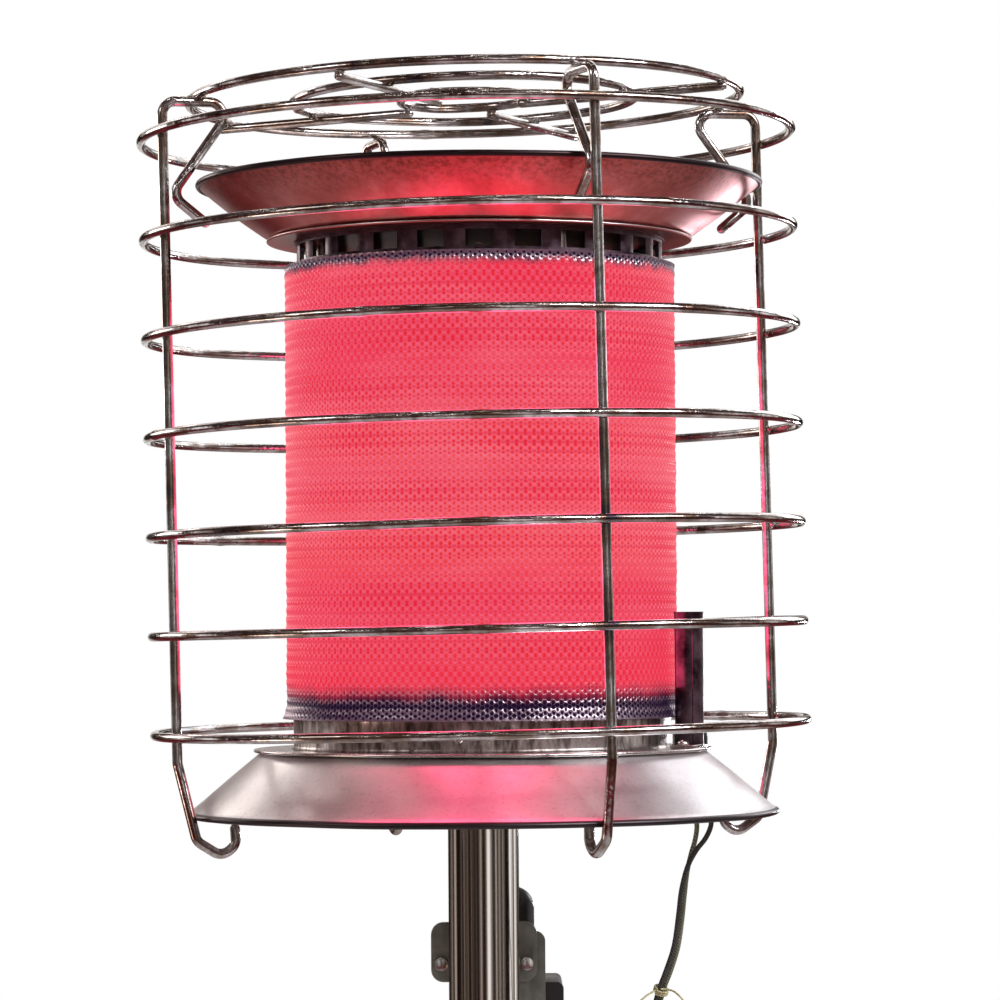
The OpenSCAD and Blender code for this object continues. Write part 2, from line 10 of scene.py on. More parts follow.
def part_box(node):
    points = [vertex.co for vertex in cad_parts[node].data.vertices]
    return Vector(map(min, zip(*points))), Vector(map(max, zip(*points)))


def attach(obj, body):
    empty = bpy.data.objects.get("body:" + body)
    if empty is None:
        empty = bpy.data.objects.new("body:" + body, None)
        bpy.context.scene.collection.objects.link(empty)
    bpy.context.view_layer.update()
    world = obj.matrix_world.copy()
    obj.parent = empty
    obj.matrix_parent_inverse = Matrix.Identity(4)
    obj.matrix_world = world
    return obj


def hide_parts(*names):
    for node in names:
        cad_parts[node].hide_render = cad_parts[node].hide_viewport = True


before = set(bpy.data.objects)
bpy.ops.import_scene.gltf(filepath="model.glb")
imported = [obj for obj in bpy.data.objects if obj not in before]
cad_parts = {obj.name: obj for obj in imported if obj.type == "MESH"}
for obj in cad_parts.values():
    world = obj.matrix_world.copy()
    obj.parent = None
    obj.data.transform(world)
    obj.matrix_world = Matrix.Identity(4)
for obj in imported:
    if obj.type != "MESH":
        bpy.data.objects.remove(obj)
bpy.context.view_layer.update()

MM = 0.001
BODY = "heater"
TAU = 2 * pi
HOLE_DEPTH = 0.9                        # of the holes in the glowing screen
FLARE, FLARE_H = 2.2, 9                 # how far, and over what height, the screen's hem turns out


def box_mm(node):
    """Lowest and highest corner of a CAD node, in millimetres."""
    low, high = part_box(node)
    return low / MM, high / MM


# ---- Driving dimensions, read from the frame ----

screen_low, screen_high = box_mm("glow_screen")
SCREEN_R = screen_high.x
SCREEN_Z0 = screen_low.z
SCREEN_Z1 = screen_high.z
PLATE_R = box_mm("burner_plate")[1].x
PLATE_Z = box_mm("burner_plate")[1].z
BEAD_R = 1.8
LOWER_RIM_R = box_mm("lower_reflector")[1].x - BEAD_R
LOWER_RIM_Z = box_mm("lower_reflector")[0].z + BEAD_R
UPPER_RIM_R = box_mm("upper_reflector")[1].x - BEAD_R
UPPER_RIM_Z = box_mm("upper_reflector")[1].z - BEAD_R
DISH_Z = box_mm("upper_reflector")[0].z
DISH_FLOOR_R = box_mm("top_plate")[1].x - 1
COLLAR_TOP = box_mm("top_plate")[0].z
HOOP_WIRE_R = 2.75
UPRIGHT_WIRE_R = 3
HOOP_R = box_mm("guard_hoop_1")[1].y - HOOP_WIRE_R
HOOP_COUNT = 7
UPRIGHT_ANGLES = (-67.5, 19, 110, 201)
SPOKE_TURN = 65
VENT_R = 110
COLLAR_R = 113
CONE_HOLE_R = 104
PLATE_HOLE_R = 14.2
SHEET = 0.45                            # thickness of the reflectors
LEAN = radians(1.1)
PILOT_R = 127.8
PILOT_TURN = radians(-17.3)


def ring_height(node):
    """Height of a leaning ring's middle before the guard leans."""
    low, high = box_mm(node)
    return LOWER_RIM_Z + ((low.z + high.z) / 2 - LOWER_RIM_Z) / cos(LEAN)


FIRST_HOOP_Z = ring_height("guard_hoop_1")
HOOP_STEP = (ring_height("guard_hoop_7") - FIRST_HOOP_Z) / (HOOP_COUNT - 1)
TOP_RING_Z = ring_height("guard_top_ring_outer")


def linked(name, data):
    """A new object in the scene."""
    obj = bpy.data.objects.new(name, data)
    bpy.context.scene.collection.objects.link(obj)
    return obj


# ---- Camera ----

def make_camera():
    """A long lens at head height, looking along +Y at the burner head."""
    distance = 2350
    focal = 3.916                       # focal length over the frame's width
    eye_z = 1560
    pitch = math.atan(0.130 / focal)
    yaw = math.atan(0.019 / focal)
    roll = radians(0.4)
    data = bpy.data.cameras.new("camera")
    data.sensor_width = 36
    data.lens = 36 * focal
    data.clip_start = 0.05
    camera = linked("camera", data)
    tilt = Matrix.Rotation(pi / 2 + pitch, 4, "X")
    turn = Matrix.Rotation(-yaw, 4, "Z") @ tilt @ Matrix.Rotation(-roll, 4, "Z")
    camera.matrix_world = Matrix.Translation(Vector((0, -distance, eye_z)) * MM) @ turn
    bpy.context.scene.camera = camera


make_camera()


# ---- Paths and meshes ----

def rounded_path(points, radius, steps):
    """The points with every inner corner rounded by an arc."""
    points = [Vector(p) for p in points]
    path = [points[0]]
    for a, p, b in zip(points, points[1:], points[2:]):
        u = (a - p).normalized()
        v = (b - p).normalized()
        half = u.angle(v) / 2
        turn = pi / 2 - half
        inward = (u + v).normalized()
        across = (v - u).normalized()
        middle = p + inward * (radius / sin(half))
        for k in range(steps + 1):
            angle = turn * (2 * k / steps - 1)
            path.append(middle + radius * (across * sin(angle) - inward * cos(angle)))
    path.append(points[-1])
    return path


def smooth_path(points, steps):
    """A smooth curve through the points."""
    points = [Vector(p) for p in points]
    path = []
    last = len(points) - 1
    for i in range(last):
        a, b = points[max(i - 1, 0)], points[i]
        c, d = points[i + 1], points[min(i + 2, last)]
        for k in range(steps):
            t = k / steps
            path.append(0.5 * (2 * b + (c - a) * t + (2 * a - 5 * b + 4 * c - d) * t * t
                               + (3 * b - a - 3 * c + d) * t ** 3))
    path.append(points[-1])
    return path


def subdivided(path, spacing):
    """The path with no step longer than the spacing."""
    result = [path[0]]
    for a, b in zip(path, path[1:]):
        steps = max(1, math.ceil((b - a).length / spacing))
        result += [a.lerp(b, k / steps) for k in range(1, steps + 1)]
    return result


def polar(r, angle, z):
    return Vector((r * cos(angle), r * sin(angle), z))


def angles(steps):
    """Equal steps of a full turn."""
    return [TAU * k / steps for k in range(steps)]


def circle_path(radius, z, steps):
    return [polar(radius, a, z) for a in angles(steps)]


def turned(degrees):
    """A turn about the pole's axis."""
    return Matrix.Rotation(radians(degrees), 4, "Z")


def ring_faces(count, sides, closed=False):
    """Faces between rings of vertices that follow each other, capped at both ends unless the last meets the first."""
    faces = []
    for i in range(count if closed else count - 1):
        here, there = i * sides, (i + 1) % count * sides
        faces += [(here + k, here + (k + 1) % sides, there + (k + 1) % sides, there + k) for k in range(sides)]
    if not closed:
        faces += [tuple(range(sides - 1, -1, -1)), tuple(range((count - 1) * sides, count * sides))]
    return faces


def prism_faces(n):
    """Faces of a prism whose vertices are one outline of n points after the other."""
    faces = [tuple(range(n)), tuple(range(2 * n - 1, n - 1, -1))]
    return faces + [(i, i + n, (i + 1) % n + n, (i + 1) % n) for i in range(n)]


def rod(path, radius, sides, closed=False, round_ends=False):
    """Vertices and faces of a round rod along a path. The radius is a number or a function of the point's index."""
    n = len(path)
    size = radius if callable(radius) else (lambda i: radius)
    side = None
    rings = []
    for i, p in enumerate(path):
        ahead = path[(i + 1) % n] if closed or i < n - 1 else p
        behind = path[i - 1] if closed or i > 0 else p
        t = (ahead - behind).normalized()
        if side is None:
            side = Vector((0, 0, 1)) if abs(t.z) < 0.9 else Vector((0, 1, 0))
        side = (side - side.dot(t) * t).normalized()
        rings.append((p, side.copy(), t.cross(side), t, size(i)))
    if round_ends:
        first, final = rings[0], rings[-1]
        dome = [(cos(a), sin(a)) for a in (radians(80), radians(55), radians(28))]
        rings = ([(first[0] - first[3] * first[4] * s, first[1], first[2], first[3], first[4] * c)
                  for c, s in dome] + rings
                 + [(final[0] + final[3] * final[4] * s, final[1], final[2], final[3], final[4] * c)
                    for c, s in reversed(dome)])
    verts = [p + r * (cos(TAU * k / sides) * s + sin(TAU * k / sides) * q)
             for p, s, q, t, r in rings for k in range(sides)]
    return verts, ring_faces(len(rings), sides, closed)


def lathe(profile, segments, wobble=None):
    """Revolves (radius, height) points about Z. wobble(angle, radius, z) returns a change of radius and of height."""
    verts, faces = [], []
    n = len(profile)
    for angle in angles(segments):
        for r, z in profile:
            dr, dz = wobble(angle, r, z) if wobble else (0, 0)
            verts.append(polar(r + dr, angle, z + dz))
    for k in range(segments):
        for i in range(n):
            a, b = k * n + i, k * n + (i + 1) % n
            c, d = (k + 1) % segments * n + (i + 1) % n, (k + 1) % segments * n + i
            faces.append((a, d, c, b))
    return verts, faces


def arc_points(cx, cz, radius, start, end, steps):
    """(r, z) points on an arc, angles in degrees."""
    angles = [radians(start + (end - start) * k / steps) for k in range(steps + 1)]
    return [(cx + radius * cos(a), cz + radius * sin(a)) for a in angles]


def joined(parts):
    """One mesh from several."""
    verts, faces = [], []
    for v, f in parts:
        base = len(verts)
        verts += v
        faces += [tuple(i + base for i in face) for face in f]
    return verts, faces


def placed(part, matrix):
    verts, faces = part
    return [matrix @ v for v in verts], faces


def along_y(x, y, z):
    """Puts a lathe's axis along +Y at a point."""
    return Matrix.Translation((x, y, z)) @ Matrix.Rotation(-pi / 2, 4, "X")


def piece(name, part, material, replaces=(), body=BODY, sharp=35, bevel=0):
    """Makes an object that rides on a CAD body."""
    verts, faces = part
    mesh = bpy.data.meshes.new(name)
    mesh.from_pydata([v * MM for v in verts], [], faces)
    work = bmesh.new()
    work.from_mesh(mesh)
    bmesh.ops.recalc_face_normals(work, faces=work.faces)
    work.to_mesh(mesh)
    work.free()
    obj = linked(name, mesh)
    mesh.materials.append(material)
    if bevel:
        break_edges(obj, bevel, 3, 38)
    obj.data.shade_smooth()
    obj.data.set_sharp_from_angle(angle=radians(sharp))
    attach(obj, body)
    if replaces:
        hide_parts(*replaces)
    return obj


def break_edges(obj, width, segments, angle):
    """Rounds the sharp edges of an object, in its mesh."""
    modifier = obj.modifiers.new("bevel", "BEVEL")
    modifier.width = width * MM
    modifier.segments = segments
    modifier.limit_method = "ANGLE"
    modifier.angle_limit = radians(angle)
    shape = bpy.data.meshes.new_from_object(obj.evaluated_get(bpy.context.evaluated_depsgraph_get()))
    obj.modifiers.clear()
    obj.data = shape


def block(x0, x1, y0, y1, z0, z1):
    verts = [Vector((x, y, z)) for x in (x0, x1) for y in (y0, y1) for z in (z0, z1)]
    faces = [(0, 1, 3, 2), (4, 6, 7, 5), (0, 4, 5, 1), (2, 3, 7, 6), (0, 2, 6, 4), (1, 5, 7, 3)]
    return verts, faces


def rounded_outline(x0, x1, z0, z1, r):
    """Points of a rectangle whose corners have the radius r."""
    corners = ((x0, z0, 1, 1, 180), (x1, z0, -1, 1, 270), (x1, z1, -1, -1, 0), (x0, z1, 1, -1, 90))
    points = []
    for x, z, sx, sz, start in corners:
        points += arc_points(x + sx * r, z + sz * r, r, start, start + 90, 8)
    return points


def extruded(outline, y0, y1):
    """A plate with an (x, z) outline between two values of y."""
    return [Vector((x, y, z)) for y in (y0, y1) for x, z in outline], prism_faces(len(outline))


def pan_head(radius, height):
    """A pan-head screw's head with a cross recess, its base on the XY plane."""
    sides = 48
    rings = [(1, 0), (1, 0.35), (0.93, 0.68), (0.75, 0.9), (0.52, 1)]
    inner = [(0.44, 1.0), (0.36, 1.0), (0.24, 1.0), (0.1, 1.0)]
    verts = []
    for f, h in rings + inner:
        for a in angles(sides):
            arm = abs(cos(2 * a)) > 0.83
            in_cross = f < 0.2 or (f < 0.48 and arm)
            z = height * (h - 0.55 if in_cross else h)
            verts.append(polar(radius * f, a, z))
    return verts, ring_faces(len(rings) + len(inner), sides)


# ---- Materials ----

def feed(node, inputs):
    """Sets the inputs of a node. Each is a socket to link or a value to set."""
    for key, value in inputs.items():
        if isinstance(value, bpy.types.NodeSocket):
            node.id_data.links.new(value, node.inputs[key])
        else:
            node.inputs[key].default_value = value


def add(tree, kind, inputs=None, **settings):
    """Adds a node."""
    node = tree.nodes.new(kind)
    for key, value in settings.items():
        setattr(node, key, value)
    feed(node, inputs or {})
    return node


def place(tree):
    """Position on the object, in metres."""
    return add(tree, "ShaderNodeTexCoord").outputs["Object"]


# Helpers that aren't given a tree find it from their first socket.
def calc(operation, a, b=0.0, c=0.0):
    return add(a.id_data, "ShaderNodeMath", {0: a, 1: b, 2: c}, operation=operation).outputs[0]


def times(a, b):
    return calc("MULTIPLY", a, b)


def plus(a, b):
    return calc("ADD", a, b)


def mixed(a, b, share):
    """The sum of two values, of which the first has this share."""
    return plus(times(a, share), times(b, 1 - share))


def stretched(vector, scale):
    return add(vector.id_data, "ShaderNodeMapping", {"Vector": vector, "Scale": scale}).outputs[0]


def clouds(vector, scale, detail=4.0, roughness=0.55):
    inputs = {"Vector": vector, "Scale": scale, "Detail": detail, "Roughness": roughness}
    return add(vector.id_data, "ShaderNodeTexNoise", inputs).outputs["Fac"]


def ramp(fac, stops, interpolation="LINEAR"):
    """A colour ramp. Each stop is a position and a colour or a grey."""
    node = add(fac.id_data, "ShaderNodeValToRGB", {"Fac": fac})
    node.color_ramp.interpolation = interpolation
    elements = node.color_ramp.elements
    while len(elements) < len(stops):
        elements.new(0.5)
    for element, (position, colour) in zip(elements, stops):
        element.position = position
        element.color = (*colour, 1) if isinstance(colour, tuple) else (colour, colour, colour, 1)
    return node.outputs["Color"]


def blend(tree, fac, a, b, mode="MIX"):
    """Mixes two colours, each a socket or three numbers."""
    node = add(tree, "ShaderNodeMix", {"Factor": fac}, data_type="RGBA", blend_type=mode)
    for socket, value in (("A", a), ("B", b)):
        target = [s for s in node.inputs if s.name == socket and s.type == "RGBA"][0]
        if isinstance(value, bpy.types.NodeSocket):
            tree.links.new(value, target)
        else:
            target.default_value = (*value, 1)
    return [s for s in node.outputs if s.type == "RGBA"][0]


def remap(value, low, high, to_low=0.0, to_high=1.0, smooth=False):
    inputs = {"Value": value, "From Min": low, "From Max": high, "To Min": to_low, "To Max": to_high}
    kind = "SMOOTHSTEP" if smooth else "LINEAR"
    return add(value.id_data, "ShaderNodeMapRange", inputs, interpolation_type=kind).outputs[0]


def cylinder_coords(tree):
    """Distance from the pole's axis, angle about it and height, in metres and radians."""
    split = add(tree, "ShaderNodeSeparateXYZ", {0: place(tree)})
    x, y, z = split.outputs
    radius = calc("SQRT", plus(times(x, x), times(y, y)))
    angle = calc("ARCTAN2", y, x)
    return radius, angle, z


def spun_rings(across):
    """Fine rings, each a tool mark of the lathe."""
    inputs = {"W": times(across, 2600.0), "Scale": 1.0, "Detail": 3.0}
    return add(across.id_data, "ShaderNodeTexNoise", inputs, noise_dimensions="1D").outputs["Fac"]


def new_material(name, metallic, roughness=None):
    material = bpy.data.materials.new(name)
    material.use_nodes = True
    tree = material.node_tree
    shader = tree.nodes["Principled BSDF"]
    feed(shader, {"Metallic": metallic})
    if roughness is not None:
        feed(shader, {"Roughness": roughness})
    return material, tree, shader


def bumped(shader, height, strength, distance):
    inputs = {"Height": height, "Strength": strength, "Distance": distance * MM}
    feed(shader, {"Normal": add(shader.id_data, "ShaderNodeBump", inputs).outputs[0]})


def spun_surface(shader, smudge, rings, speck, rough, depth):
    """Uneven polish and a fine relief for sheet spun on a lathe."""
    polish = mixed(smudge, rings, 0.6)
    feed(shader, {"Roughness": remap(polish, 0.3, 0.7, *rough)})
    bumped(shader, mixed(rings, speck, 0.5), 0.35, depth)


def plain_metal(name, dark, light, rough, grain=900.0, metallic=1.0, depth=0.05, patch=25.0):
    """Metal with cloudy colour between two tones, uneven polish and a fine surface."""
    material, tree, shader = new_material(name, metallic)
    at = place(tree)
    tone = clouds(at, patch, 6.0, 0.6)
    fine = clouds(at, grain, 3.0)
    feed(shader, {"Base Color": ramp(tone, [(0.32, dark), (0.68, light)]),
                  "Roughness": remap(mixed(tone, fine, 0.55), 0.3, 0.7, *rough)})
    bumped(shader, fine, 0.5, depth)
    return material


def guard_wire():
    """Bright drawn wire, tinted straw, brown and blue here and there by the heat."""
    material, tree, shader = new_material("bright_wire", 1.0)
    at = place(tree)
    tone = clouds(at, 26.0, 5.0, 0.65)
    stops = [(0.34, (0.022, 0.016, 0.026)), (0.43, (0.15, 0.090, 0.060)), (0.50, (0.27, 0.22, 0.20)),
             (0.58, (0.55, 0.52, 0.53)), (0.67, (0.13, 0.095, 0.070))]
    feed(shader, {"Base Color": ramp(tone, stops)})
    fine = clouds(at, 700.0, 3.0)
    feed(shader, {"Roughness": remap(tone, 0.35, 0.60, 0.30, 0.10)})
    feed(shader, {"Coat Weight": 1.0, "Coat Roughness": 0.05, "Coat IOR": 1.8})
    lumps = calc("MULTIPLY_ADD", fine, 0.12, clouds(at, 120.0, 2.0))
    bumped(shader, lumps, 0.7, 0.6)
    return material


def spun_steel(name, dark, light, rough):
    """Sheet spun on a lathe: fine rings round the axis, smudges, a few heat stains and painted shade under the lower
    rim's bead.
    """
    material, tree, shader = new_material(name, 1.0)
    radius, _, z = cylinder_coords(tree)
    at = place(tree)
    rings = spun_rings(plus(radius, times(z, 0.7)))
    smudge = clouds(at, 14.0, 6.0, 0.62)
    speck = clouds(at, 420.0, 2.0, 0.7)
    colour = ramp(smudge, [(0.30, dark), (0.66, light)])
    dirt = ramp(speck, [(0.28, 0.7), (0.45, 1.0)])
    skin = blend(tree, 0.65, colour, dirt, "MULTIPLY")
    # Painted shade: the outer, lower side of the lower rim's bead, above a metre's height, is darkened to near black.
    bead_shade = remap(radius, (LOWER_RIM_R - 0.8) * MM, (LOWER_RIM_R - 0.3) * MM)
    low = remap(z, (LOWER_RIM_Z + 8) * MM, (LOWER_RIM_Z + 5) * MM)
    edge = times(times(bead_shade, low), remap(z, 1.0, 1.1))
    feed(shader, {"Base Color": blend(tree, edge, skin, (0.05, 0.04, 0.045))})
    spun_surface(shader, smudge, rings, speck, rough, 0.06)
    return material


def stained_and_glow_tinted_dish():
    """Spun sheet whose underside is tinted reddish brown, deeper towards the rim: partly heat stain, partly painted
    reflection of the red glow. The rim's bead has painted shade.
    """
    material, tree, shader = new_material("heat_stained_glow_tinted_dish", 1.0)
    radius = cylinder_coords(tree)[0]
    at = place(tree)
    rings = spun_rings(radius)
    smudge = clouds(at, 16.0, 6.0, 0.62)
    speck = clouds(at, 300.0, 4.0, 0.7)
    steel = ramp(smudge, [(0.30, (0.50, 0.46, 0.46)), (0.66, (0.76, 0.73, 0.73))])
    # Partly heat stain, partly painted reflection of the red glow: reddish brown for the underside, more mottled and
    # darker towards the rim.
    stain_and_glow_tint = ramp(smudge, [(0.34, (0.29, 0.058, 0.048)), (0.52, (0.46, 0.130, 0.120)),
                                (0.70, (0.66, 0.29, 0.28))])
    rim = remap(radius, (DISH_FLOOR_R + 12) * MM, UPPER_RIM_R * MM, smooth=True)
    mottled = ramp(speck, [(0.40, (0.13, 0.030, 0.024)), (0.56, (0.40, 0.092, 0.080))])
    under = blend(tree, times(rim, 0.75), stain_and_glow_tint, mottled)
    # Faces turned down take that tint; faces turned up stay bright steel.
    normal = add(tree, "ShaderNodeNewGeometry").outputs["True Normal"]
    tilt = add(tree, "ShaderNodeSeparateXYZ", {0: normal}).outputs[2]
    below = remap(tilt, 0.12, -0.12)
    # Painted shade: the rim's bead is darkened to near black, over both the steel and the tint.
    bead_shade = remap(radius, (UPPER_RIM_R - 1.4) * MM, (UPPER_RIM_R - 0.8) * MM)
    both = blend(tree, below, steel, under)
    feed(shader, {"Base Color": blend(tree, bead_shade, both, (0.035, 0.022, 0.024))})
    spun_surface(shader, smudge, rings, speck, (0.26, 0.42), 0.07)
    return material


def tinted_steel():
    """Sheet that has been hot: straw, brown and blue stains on a dark skin."""
    material, tree, shader = new_material("heat_tinted_steel", 1.0)
    radius, angle, z = cylinder_coords(tree)
    upright = add(tree, "ShaderNodeCombineXYZ", {0: times(angle, 0.55), 1: radius,
                                                 2: times(z, 1.6)}).outputs[0]
    streak = clouds(upright, 34.0, 6.0, 0.65)
    stops = [(0.30, (0.030, 0.024, 0.027)), (0.42, (0.15, 0.115, 0.105)), (0.50, (0.31, 0.28, 0.27)),
             (0.58, (0.46, 0.40, 0.38)), (0.68, (0.72, 0.69, 0.67))]
    feed(shader, {"Base Color": ramp(streak, stops),
                  "Roughness": remap(streak, 0.3, 0.7, 0.5, 0.22)})
    bumped(shader, clouds(place(tree), 300.0, 4.0), 0.4, 0.15)
    return material


def glow():
    """Perforated sheet, red hot but for a cold band at each end, which keeps a faint painted purple glow. Its holes are
    the sunk vertices.
    """
    material, tree, shader = new_material("glowing_mesh", 1.0, 0.34)
    radius, angle, z = cylinder_coords(tree)
    flare = calc("POWER", remap(z, SCREEN_Z0 * MM, (SCREEN_Z0 + FLARE_H) * MM, 1.0, 0.0), 1.5)
    skin = calc("MULTIPLY_ADD", flare, FLARE * MM, SCREEN_R * MM)
    depth = calc("SUBTRACT", skin, radius)
    strand = remap(depth, 0.75 * HOLE_DEPTH * MM, 0.2 * HOLE_DEPTH * MM, smooth=True)
    height = remap(z, SCREEN_Z0 * MM, SCREEN_Z1 * MM)
    around = times(angle, 0.35)
    spread = add(tree, "ShaderNodeCombineXYZ", {0: around, 1: 0.0, 2: times(z, 14.0)}).outputs[0]
    streak = clouds(spread, 3.2, 4.0, 0.6)
    patch = clouds(place(tree), 17.0, 3.0, 0.5)
    wander = plus(height, times(calc("SUBTRACT", patch, 0.5), 0.05))
    deep, warm, soft = (0.84, 0.024, 0.050), (0.88, 0.100, 0.095), (0.84, 0.060, 0.105)
    bands = ramp(wander, [(0.00, deep), (0.14, (0.84, 0.020, 0.040)), (0.24, soft), (0.30, deep), (0.40, warm),
                                (0.52, soft), (0.60, warm), (0.70, soft), (0.78, deep), (0.86, soft), (0.96, deep)],
                 "B_SPLINE")
    upper = remap(height, 0.06, 0.40, 0.3, 1.0)
    pale = times(remap(streak, 0.40, 0.66, 0.0, 0.55), upper)
    mottled = blend(tree, pale, bands, (0.90, 0.165, 0.200))
    face = blend(tree, strand, (0.78, 0.016, 0.036), mottled)
    # Faces that lean sideways show the paler heart of the flame
    at = place(tree)
    outward = add(tree, "ShaderNodeVectorMath", {0: at, 1: (1, 1, 0)}, operation="MULTIPLY").outputs[0]
    outward = add(tree, "ShaderNodeVectorMath", {0: outward}, operation="NORMALIZE").outputs[0]
    normal = add(tree, "ShaderNodeNewGeometry").outputs["True Normal"]
    facing = add(tree, "ShaderNodeVectorMath", {0: normal, 1: outward}, operation="DOT_PRODUCT").outputs["Value"]
    aside = remap(facing, 0.90, 0.70, 0.0, 0.5)
    lit = blend(tree, aside, face, (0.90, 0.24, 0.42))
    ragged = times(calc("SUBTRACT", clouds(at, 60.0, 3.0), 0.5), 0.035)
    edge = plus(height, ragged)
    foot = remap(edge, 0.035, 0.085, smooth=True)
    live = times(foot, remap(edge, 0.990, 0.968, smooth=True))
    # Painted glow: where the screen is cold it still emits a faint purple.
    feed(shader, {"Emission Color": blend(tree, live, (0.012, 0.003, 0.022), lit)})
    feed(shader, {"Emission Strength": 1.0})
    cold = ramp(strand, [(0.30, (0.004, 0.003, 0.004)), (0.72, (0.06, 0.045, 0.055)), (1.0, (0.30, 0.25, 0.28))])
    feed(shader, {"Base Color": blend(tree, live, cold, (0.02, 0.002, 0.003))})
    return material


def moulded(name, colour, rough, grain=520.0, depth=0.10):
    """Moulded plastic with a fine grain and slight scuffs."""
    material, tree, shader = new_material(name, 0.0)
    at = place(tree)
    fine = clouds(at, grain, 3.0)
    scuff = clouds(at, 34.0, 6.0, 0.7)
    lighter = tuple(min(1, c * 1.7 + 0.012) for c in colour)
    feed(shader, {"Base Color": ramp(scuff, [(0.42, colour), (0.75, lighter)]),
                  "Roughness": remap(scuff, 0.3, 0.7, *rough)})
    bumped(shader, fine, 0.4, depth)
    return material


def braided(name, dark, light):
    """Sleeve of fine braid round a lead."""
    material, tree, shader = new_material(name, 0.0, 0.62)
    at = place(tree)
    weave = add(tree, "ShaderNodeTexWave", {"Vector": at, "Scale": 420.0, "Distortion": 1.5, "Detail": 1.0},
                bands_direction="DIAGONAL").outputs["Fac"]
    tone = clouds(at, 60.0, 4.0)
    feed(shader, {"Base Color": ramp(mixed(weave, tone, 0.6), [(0.25, dark), (0.75, light)])})
    bumped(shader, weave, 0.5, 0.15)
    return material


def streaked_pole():
    """Polished tube with drawing lines along it and slight smears."""
    material, tree, shader = new_material("polished_pole", 1.0)
    at = place(tree)
    lines = clouds(stretched(at, (1, 1, 0.004)), 62.0, 2.0, 0.5)
    smear = clouds(stretched(at, (1, 1, 0.25)), 30.0, 5.0)
    stops = [(0.36, (0.15, 0.110, 0.088)), (0.50, (0.42, 0.35, 0.31)), (0.62, (0.70, 0.66, 0.63))]
    feed(shader, {"Base Color": ramp(lines, stops),
                  "Roughness": remap(smear, 0.35, 0.65, 0.09, 0.17)})
    bumped(shader, lines, 0.05, 0.01)
    return material


WIRE = guard_wire()
REFLECTOR = spun_steel("satin_reflector", (0.58, 0.55, 0.56), (0.80, 0.78, 0.80), (0.30, 0.40))
PLATE = plain_metal("bright_plate", (0.42, 0.38, 0.37), (0.74, 0.70, 0.69), (0.16, 0.34))
DISH = stained_and_glow_tinted_dish()
TINTED = tinted_steel()
DRUM = plain_metal("hot_drum", (0.26, 0.24, 0.18), (0.58, 0.54, 0.43), (0.35, 0.6), patch=60.0)
SOOTY = plain_metal("sooty_tube", (0.016, 0.008, 0.014), (0.15, 0.10, 0.125), (0.26, 0.5), patch=70.0, depth=0.1)
GLOW = glow()
INNER = plain_metal("inner_sheet", (0.10, 0.09, 0.09), (0.30, 0.28, 0.27), (0.35, 0.6))
ZINC = plain_metal("zinc_fastener", (0.45, 0.44, 0.42), (0.78, 0.77, 0.74), (0.14, 0.32), patch=160.0)
BRASS = plain_metal("machined_brass", (0.52, 0.36, 0.13), (0.80, 0.60, 0.28), (0.18, 0.36), patch=120.0)
PIPE = plain_metal("drawn_pipe", (0.40, 0.40, 0.41), (0.68, 0.68, 0.68), (0.22, 0.40), patch=90.0)
POLE = streaked_pole()
CAST = plain_metal("cast_grey", (0.14, 0.145, 0.125), (0.27, 0.275, 0.245), (0.34, 0.55), grain=260.0, metallic=0.45,
                   depth=0.4, patch=60.0)
BLACK = moulded("black_moulding", (0.010, 0.010, 0.011), (0.32, 0.55))
CAP_BLACK = moulded("black_cap", (0.006, 0.006, 0.007), (0.22, 0.42), grain=900.0, depth=0.05)
RED = moulded("red_button", (0.42, 0.012, 0.010), (0.18, 0.34), grain=1200.0, depth=0.03)
GREEN_LEAD = braided("green_braid", (0.055, 0.060, 0.038), (0.25, 0.25, 0.17))
BLACK_LEAD = braided("black_sleeve", (0.010, 0.010, 0.010), (0.060, 0.058, 0.055))
TIE = plain_metal("waxed_tie", (0.30, 0.26, 0.12), (0.72, 0.66, 0.42), (0.4, 0.6), metallic=0.1, patch=400.0)
RUBBER = moulded("foot_rubber", (0.012, 0.012, 0.012), (0.6, 0.8), grain=300.0, depth=0.2)
PAINT = moulded("black_powder_coat", (0.016, 0.016, 0.017), (0.38, 0.55), grain=700.0, depth=0.15)
CERAMIC = moulded("glazed_ceramic", (0.62, 0.58, 0.50), (0.12, 0.24), grain=200.0, depth=0.02)


# ---- Leads ----

LEAD_D = 3
THERMOCOUPLE_ROUTE = [
    (117.6, -36.6, 1476), (118.6, -34.5, 1466), (121.5, -32.5, 1456), (126, -32, 1446),
    (125.5, -28.5, 1436), (123, -23, 1426), (121, -18, 1416), (119.5, -13.5, 1402),
    (118, -8.5, 1386), (115.8, -3.5, 1370), (111.5, 2.5, 1355), (107.5, 7, 1344),
    (104, 13, 1329), (100, 21, 1314), (95, 30, 1303), (88.5, 39, 1299),
    (81.5, 47, 1301), (75.5, 52.5, 1305.5), (70, 54.7, 1309), (65, 55, 1310), (60, 55, 1310),
]
IGNITER_ROUTE = [
    (126.4, -39.4, 1476), (128, -39.5, 1466), (132, -38.5, 1456), (134.5, -37, 1446),
    (131.5, -35, 1437), (125.5, -33, 1429), (120.5, -29.5, 1419), (117.2, -23.5, 1405),
    (115.6, -17.5, 1390), (113.2, -9.5, 1371), (108.5, -0.5, 1355), (104.3, 4.2, 1343),
    (100.5, 10.5, 1327), (96, 19, 1310), (90.5, 28.5, 1297.5), (84, 38, 1292),
    (78, 46.5, 1292.5), (73, 52, 1296.5), (69, 54.5, 1301), (65, 55, 1303), (60, 55, 1303),
]


